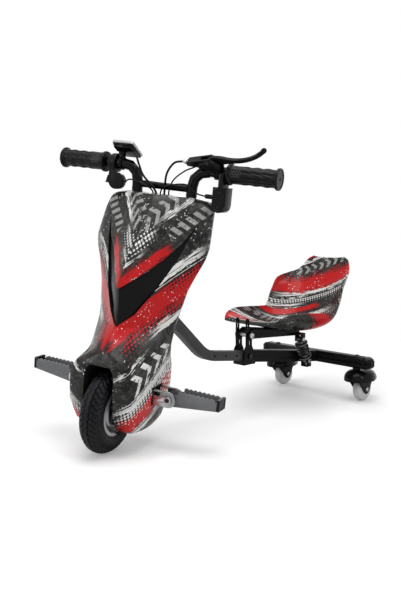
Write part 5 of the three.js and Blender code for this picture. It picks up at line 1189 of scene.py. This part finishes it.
# In millimetres: face, circle and height of the motor's bolts; place and height of the peg pins
HUB_FACE, HUB_CIRCLE, HUB_HEIGHT, PEG_PIN_SIDE, PEG_PIN_HEIGHT = 20.9, 27, 100.5, 126, 141


def fine_screws():
    """Screws, bolts and nuts, each lying on the face of its node."""
    axis, front, forward = (facing_out(d) for d in ((1, 0, 0), (0, -1, 0), (0, -DIAGONAL, -DIAGONAL)))
    up = Vector((0, 0, 1))
    ring = [(turned(HUB_FACE, HUB_CIRCLE * cos(t), HUB_HEIGHT + HUB_CIRCLE * sin(t)), axis) for t in turns(6)]
    screws("hub_cover_screws", "hub_motor", ring, 0.0036, 0.0022)
    pivot = [(lever_place(122, 38, sign * 14.2), sign * forward) for sign in (1, -1)]
    screws("lever_pivot_screws", "brake_bracket", pivot, 0.0046, 0.0026)
    clamp = [(lever_place(140, 14, 13.2), forward), (lever_place(110, 27, 13.4), forward)]
    screws("lever_clamp_screws", "brake_bracket", clamp, 0.0030, 0.0020)
    for side, label in SIDES:
        pin, yoke = f"peg_pin_{label}", f"peg_bracket_{label}"
        bolt = [(turned(side * PEG_PIN_SIDE, front_of(pin) + 0.2, PEG_PIN_HEIGHT), front)]
        screws(f"peg_pin_bolt_{label}", pin, bolt, 0.0052, 0.0030)
        spots = [(turned(side * 86, front_of(yoke) + 0.2, 141 + z), front) for z in (-9, 9)]
        screws(f"peg_yoke_screws_{label}", yoke, spots, 0.0034, 0.0020)
    cover = [(turned(POD_SIDE, 149.1, POD_HEIGHT + z), front) for z in (-17, 17)]
    screws("switch_cover_screws", "switch_pod", cover, 0.0024, 0.0014)
    for side, label in SIDES:
        ends = [(rear(side * CASTER_SIDE + s * 18.4, *CASTER_AXLE), Vector((s, 0, 0))) for s in (1, -1)]
        screws(f"caster_axle_nuts_{label}", f"caster_hood_{label}", ends, 0.0062, 0.0036, BRIGHT_STEEL)
        cap = [(rear(side * CASTER_SIDE, *CASTER_STEM), up)]
        screws(f"kingpin_cap_{label}", f"caster_kingpin_{label}", cap, 0.0085, 0.0040)
    shell = BVHTree.FromObject(bpy.data.objects["bucket_seat_shell"], bpy.context.evaluated_depsgraph_get())
    spots = ((-17, 575), (17, 575), (-17, 640), (17, 640))
    bolts = [shell.ray_cast(rear(x, y, 420), -up)[:2] for x, y in spots]
    screws("seat_pan_bolts", "seat_pan", bolts, 0.0062, 0.0028)


# ---------------------------------------------------------------- the whole scooter

camera()
cables()
studio()
floor()
MOULDINGS = ("fairing_front", "fairing_rear")
walls = [BVHTree.FromObject(NODES[name], bpy.context.evaluated_depsgraph_get()) for name in MOULDINGS]
for moulding in MOULDINGS:
    fairing(moulding, moulding + "_shell", walls)
front_tyre()
valve_stem()
for make in (grip, grip_cells, peg_tip):
    for side, label in SIDES:
        make(side, label)
seat()
coil_spring()
display_trim()
lever_perch()
switch_cover()
for side, label in SIDES:
    caster_hood(side, label)
fine_screws()

# The other nodes keep their shape: node, name, finish and how wide its edges are rounded, in metres
PLAIN = [
    ("fairing_insert", "v_insert", GLOSS_BLACK, 0.0004),
    ("front_rim", "wheel_rim", RIM_PAINT, 0.0006),
    ("hub_motor", "hub_motor_case", CAST_METAL, 0.0010),
    ("front_axle", "front_axle_and_nuts", BRIGHT_STEEL, 0.0005),
    ("brake_plate", "brake_plate_disc", CAST_METAL, 0.0006),
    ("steering_fork", "fork_and_stem", BLACK_COAT, 0.0012),
    ("handlebar", "bar_and_risers", GLOSS_BLACK, 0.0),
    ("battery_pack", "battery_block", BATTERY_WRAP, 0.004),
    ("motor_controller", "controller_case", CAST_METAL, 0.0015),
    ("brake_bracket", "lever_bracket", BLACK_COAT, 0.0012),
    ("brake_lever", "lever_blade", BLACK_COAT, 0.0018),
    ("barrel_adjuster", "barrel", BRIGHT_STEEL, 0.0004),
    ("switch_pod", "switch_pod_case", CONTROL_PLASTIC, 0.0016),
    ("horn_button", "horn_push", BUTTON_GREY, 0.0006),
    ("light_button", "light_push", BUTTON_RED, 0.0006),
    ("throttle_housing", "throttle_case", CONTROL_PLASTIC, 0.0014),
    ("throttle_lever", "thumb_lever", CONTROL_PLASTIC, 0.0010),
    ("display_housing", "display_case", GLOSS_BLACK, 0.0018),
    ("display_plate", "display_face", DISPLAY_METAL, 0.0003),
    ("display_button", "display_push", BUTTON_RED, 0.0003),
    ("main_tube", "bent_main_tube", GREY_COAT, 0.0020),
    ("head_bearing_lower", "lower_head_race", BRIGHT_STEEL, 0.0005),
    ("head_bearing_upper", "upper_head_race", BRIGHT_STEEL, 0.0005),
    ("rear_frame", "sleeve_and_beam", BLACK_COAT, 0.0014),
    ("seat_bracket", "seat_post_bracket", BLACK_COAT, 0.0008),
    ("seat_carrier", "seat_channel", BLACK_COAT, 0.0008),
    ("seat_pivot_bolt", "seat_pivot_pin", BRIGHT_STEEL, 0.0004),
    ("shock_body", "damper_body", DAMPER_METAL, 0.0006),
    ("shock_rod", "damper_rod_end", DAMPER_METAL, 0.0006),
    ("shock_pin_lower", "lower_damper_pin", BRIGHT_STEEL, 0.0004),
    ("shock_pin_upper", "upper_damper_pin", BRIGHT_STEEL, 0.0004),
]
for side in ("left", "right"):
    PLAIN += [
        (f"peg_bracket_{side}", f"peg_yoke_{side}", BRACKET_STEEL_PAINTED_REFLECTIONS, 0.0008),
        (f"peg_pin_{side}", f"peg_hinge_pin_{side}", BRIGHT_STEEL, 0.0005),
        (f"foot_peg_{side}", f"peg_channel_{side}", PEG_COAT, 0.0008),
        (f"bracket_bolt_{side}", f"clamp_bolt_{side}", BLACK_STEEL, 0.0004),
        (f"beam_cap_{side}", f"beam_end_plug_{side}", GLOSS_BLACK, 0.0),
        (f"caster_kingpin_{side}", f"kingpin_{side}_steel", BLACK_COAT, 0.0004),
        (f"caster_wheel_{side}", f"caster_roller_{side}", CASTER_PLASTIC, 0.0010),
    ]
for part in PLAIN:
    refined(*part)
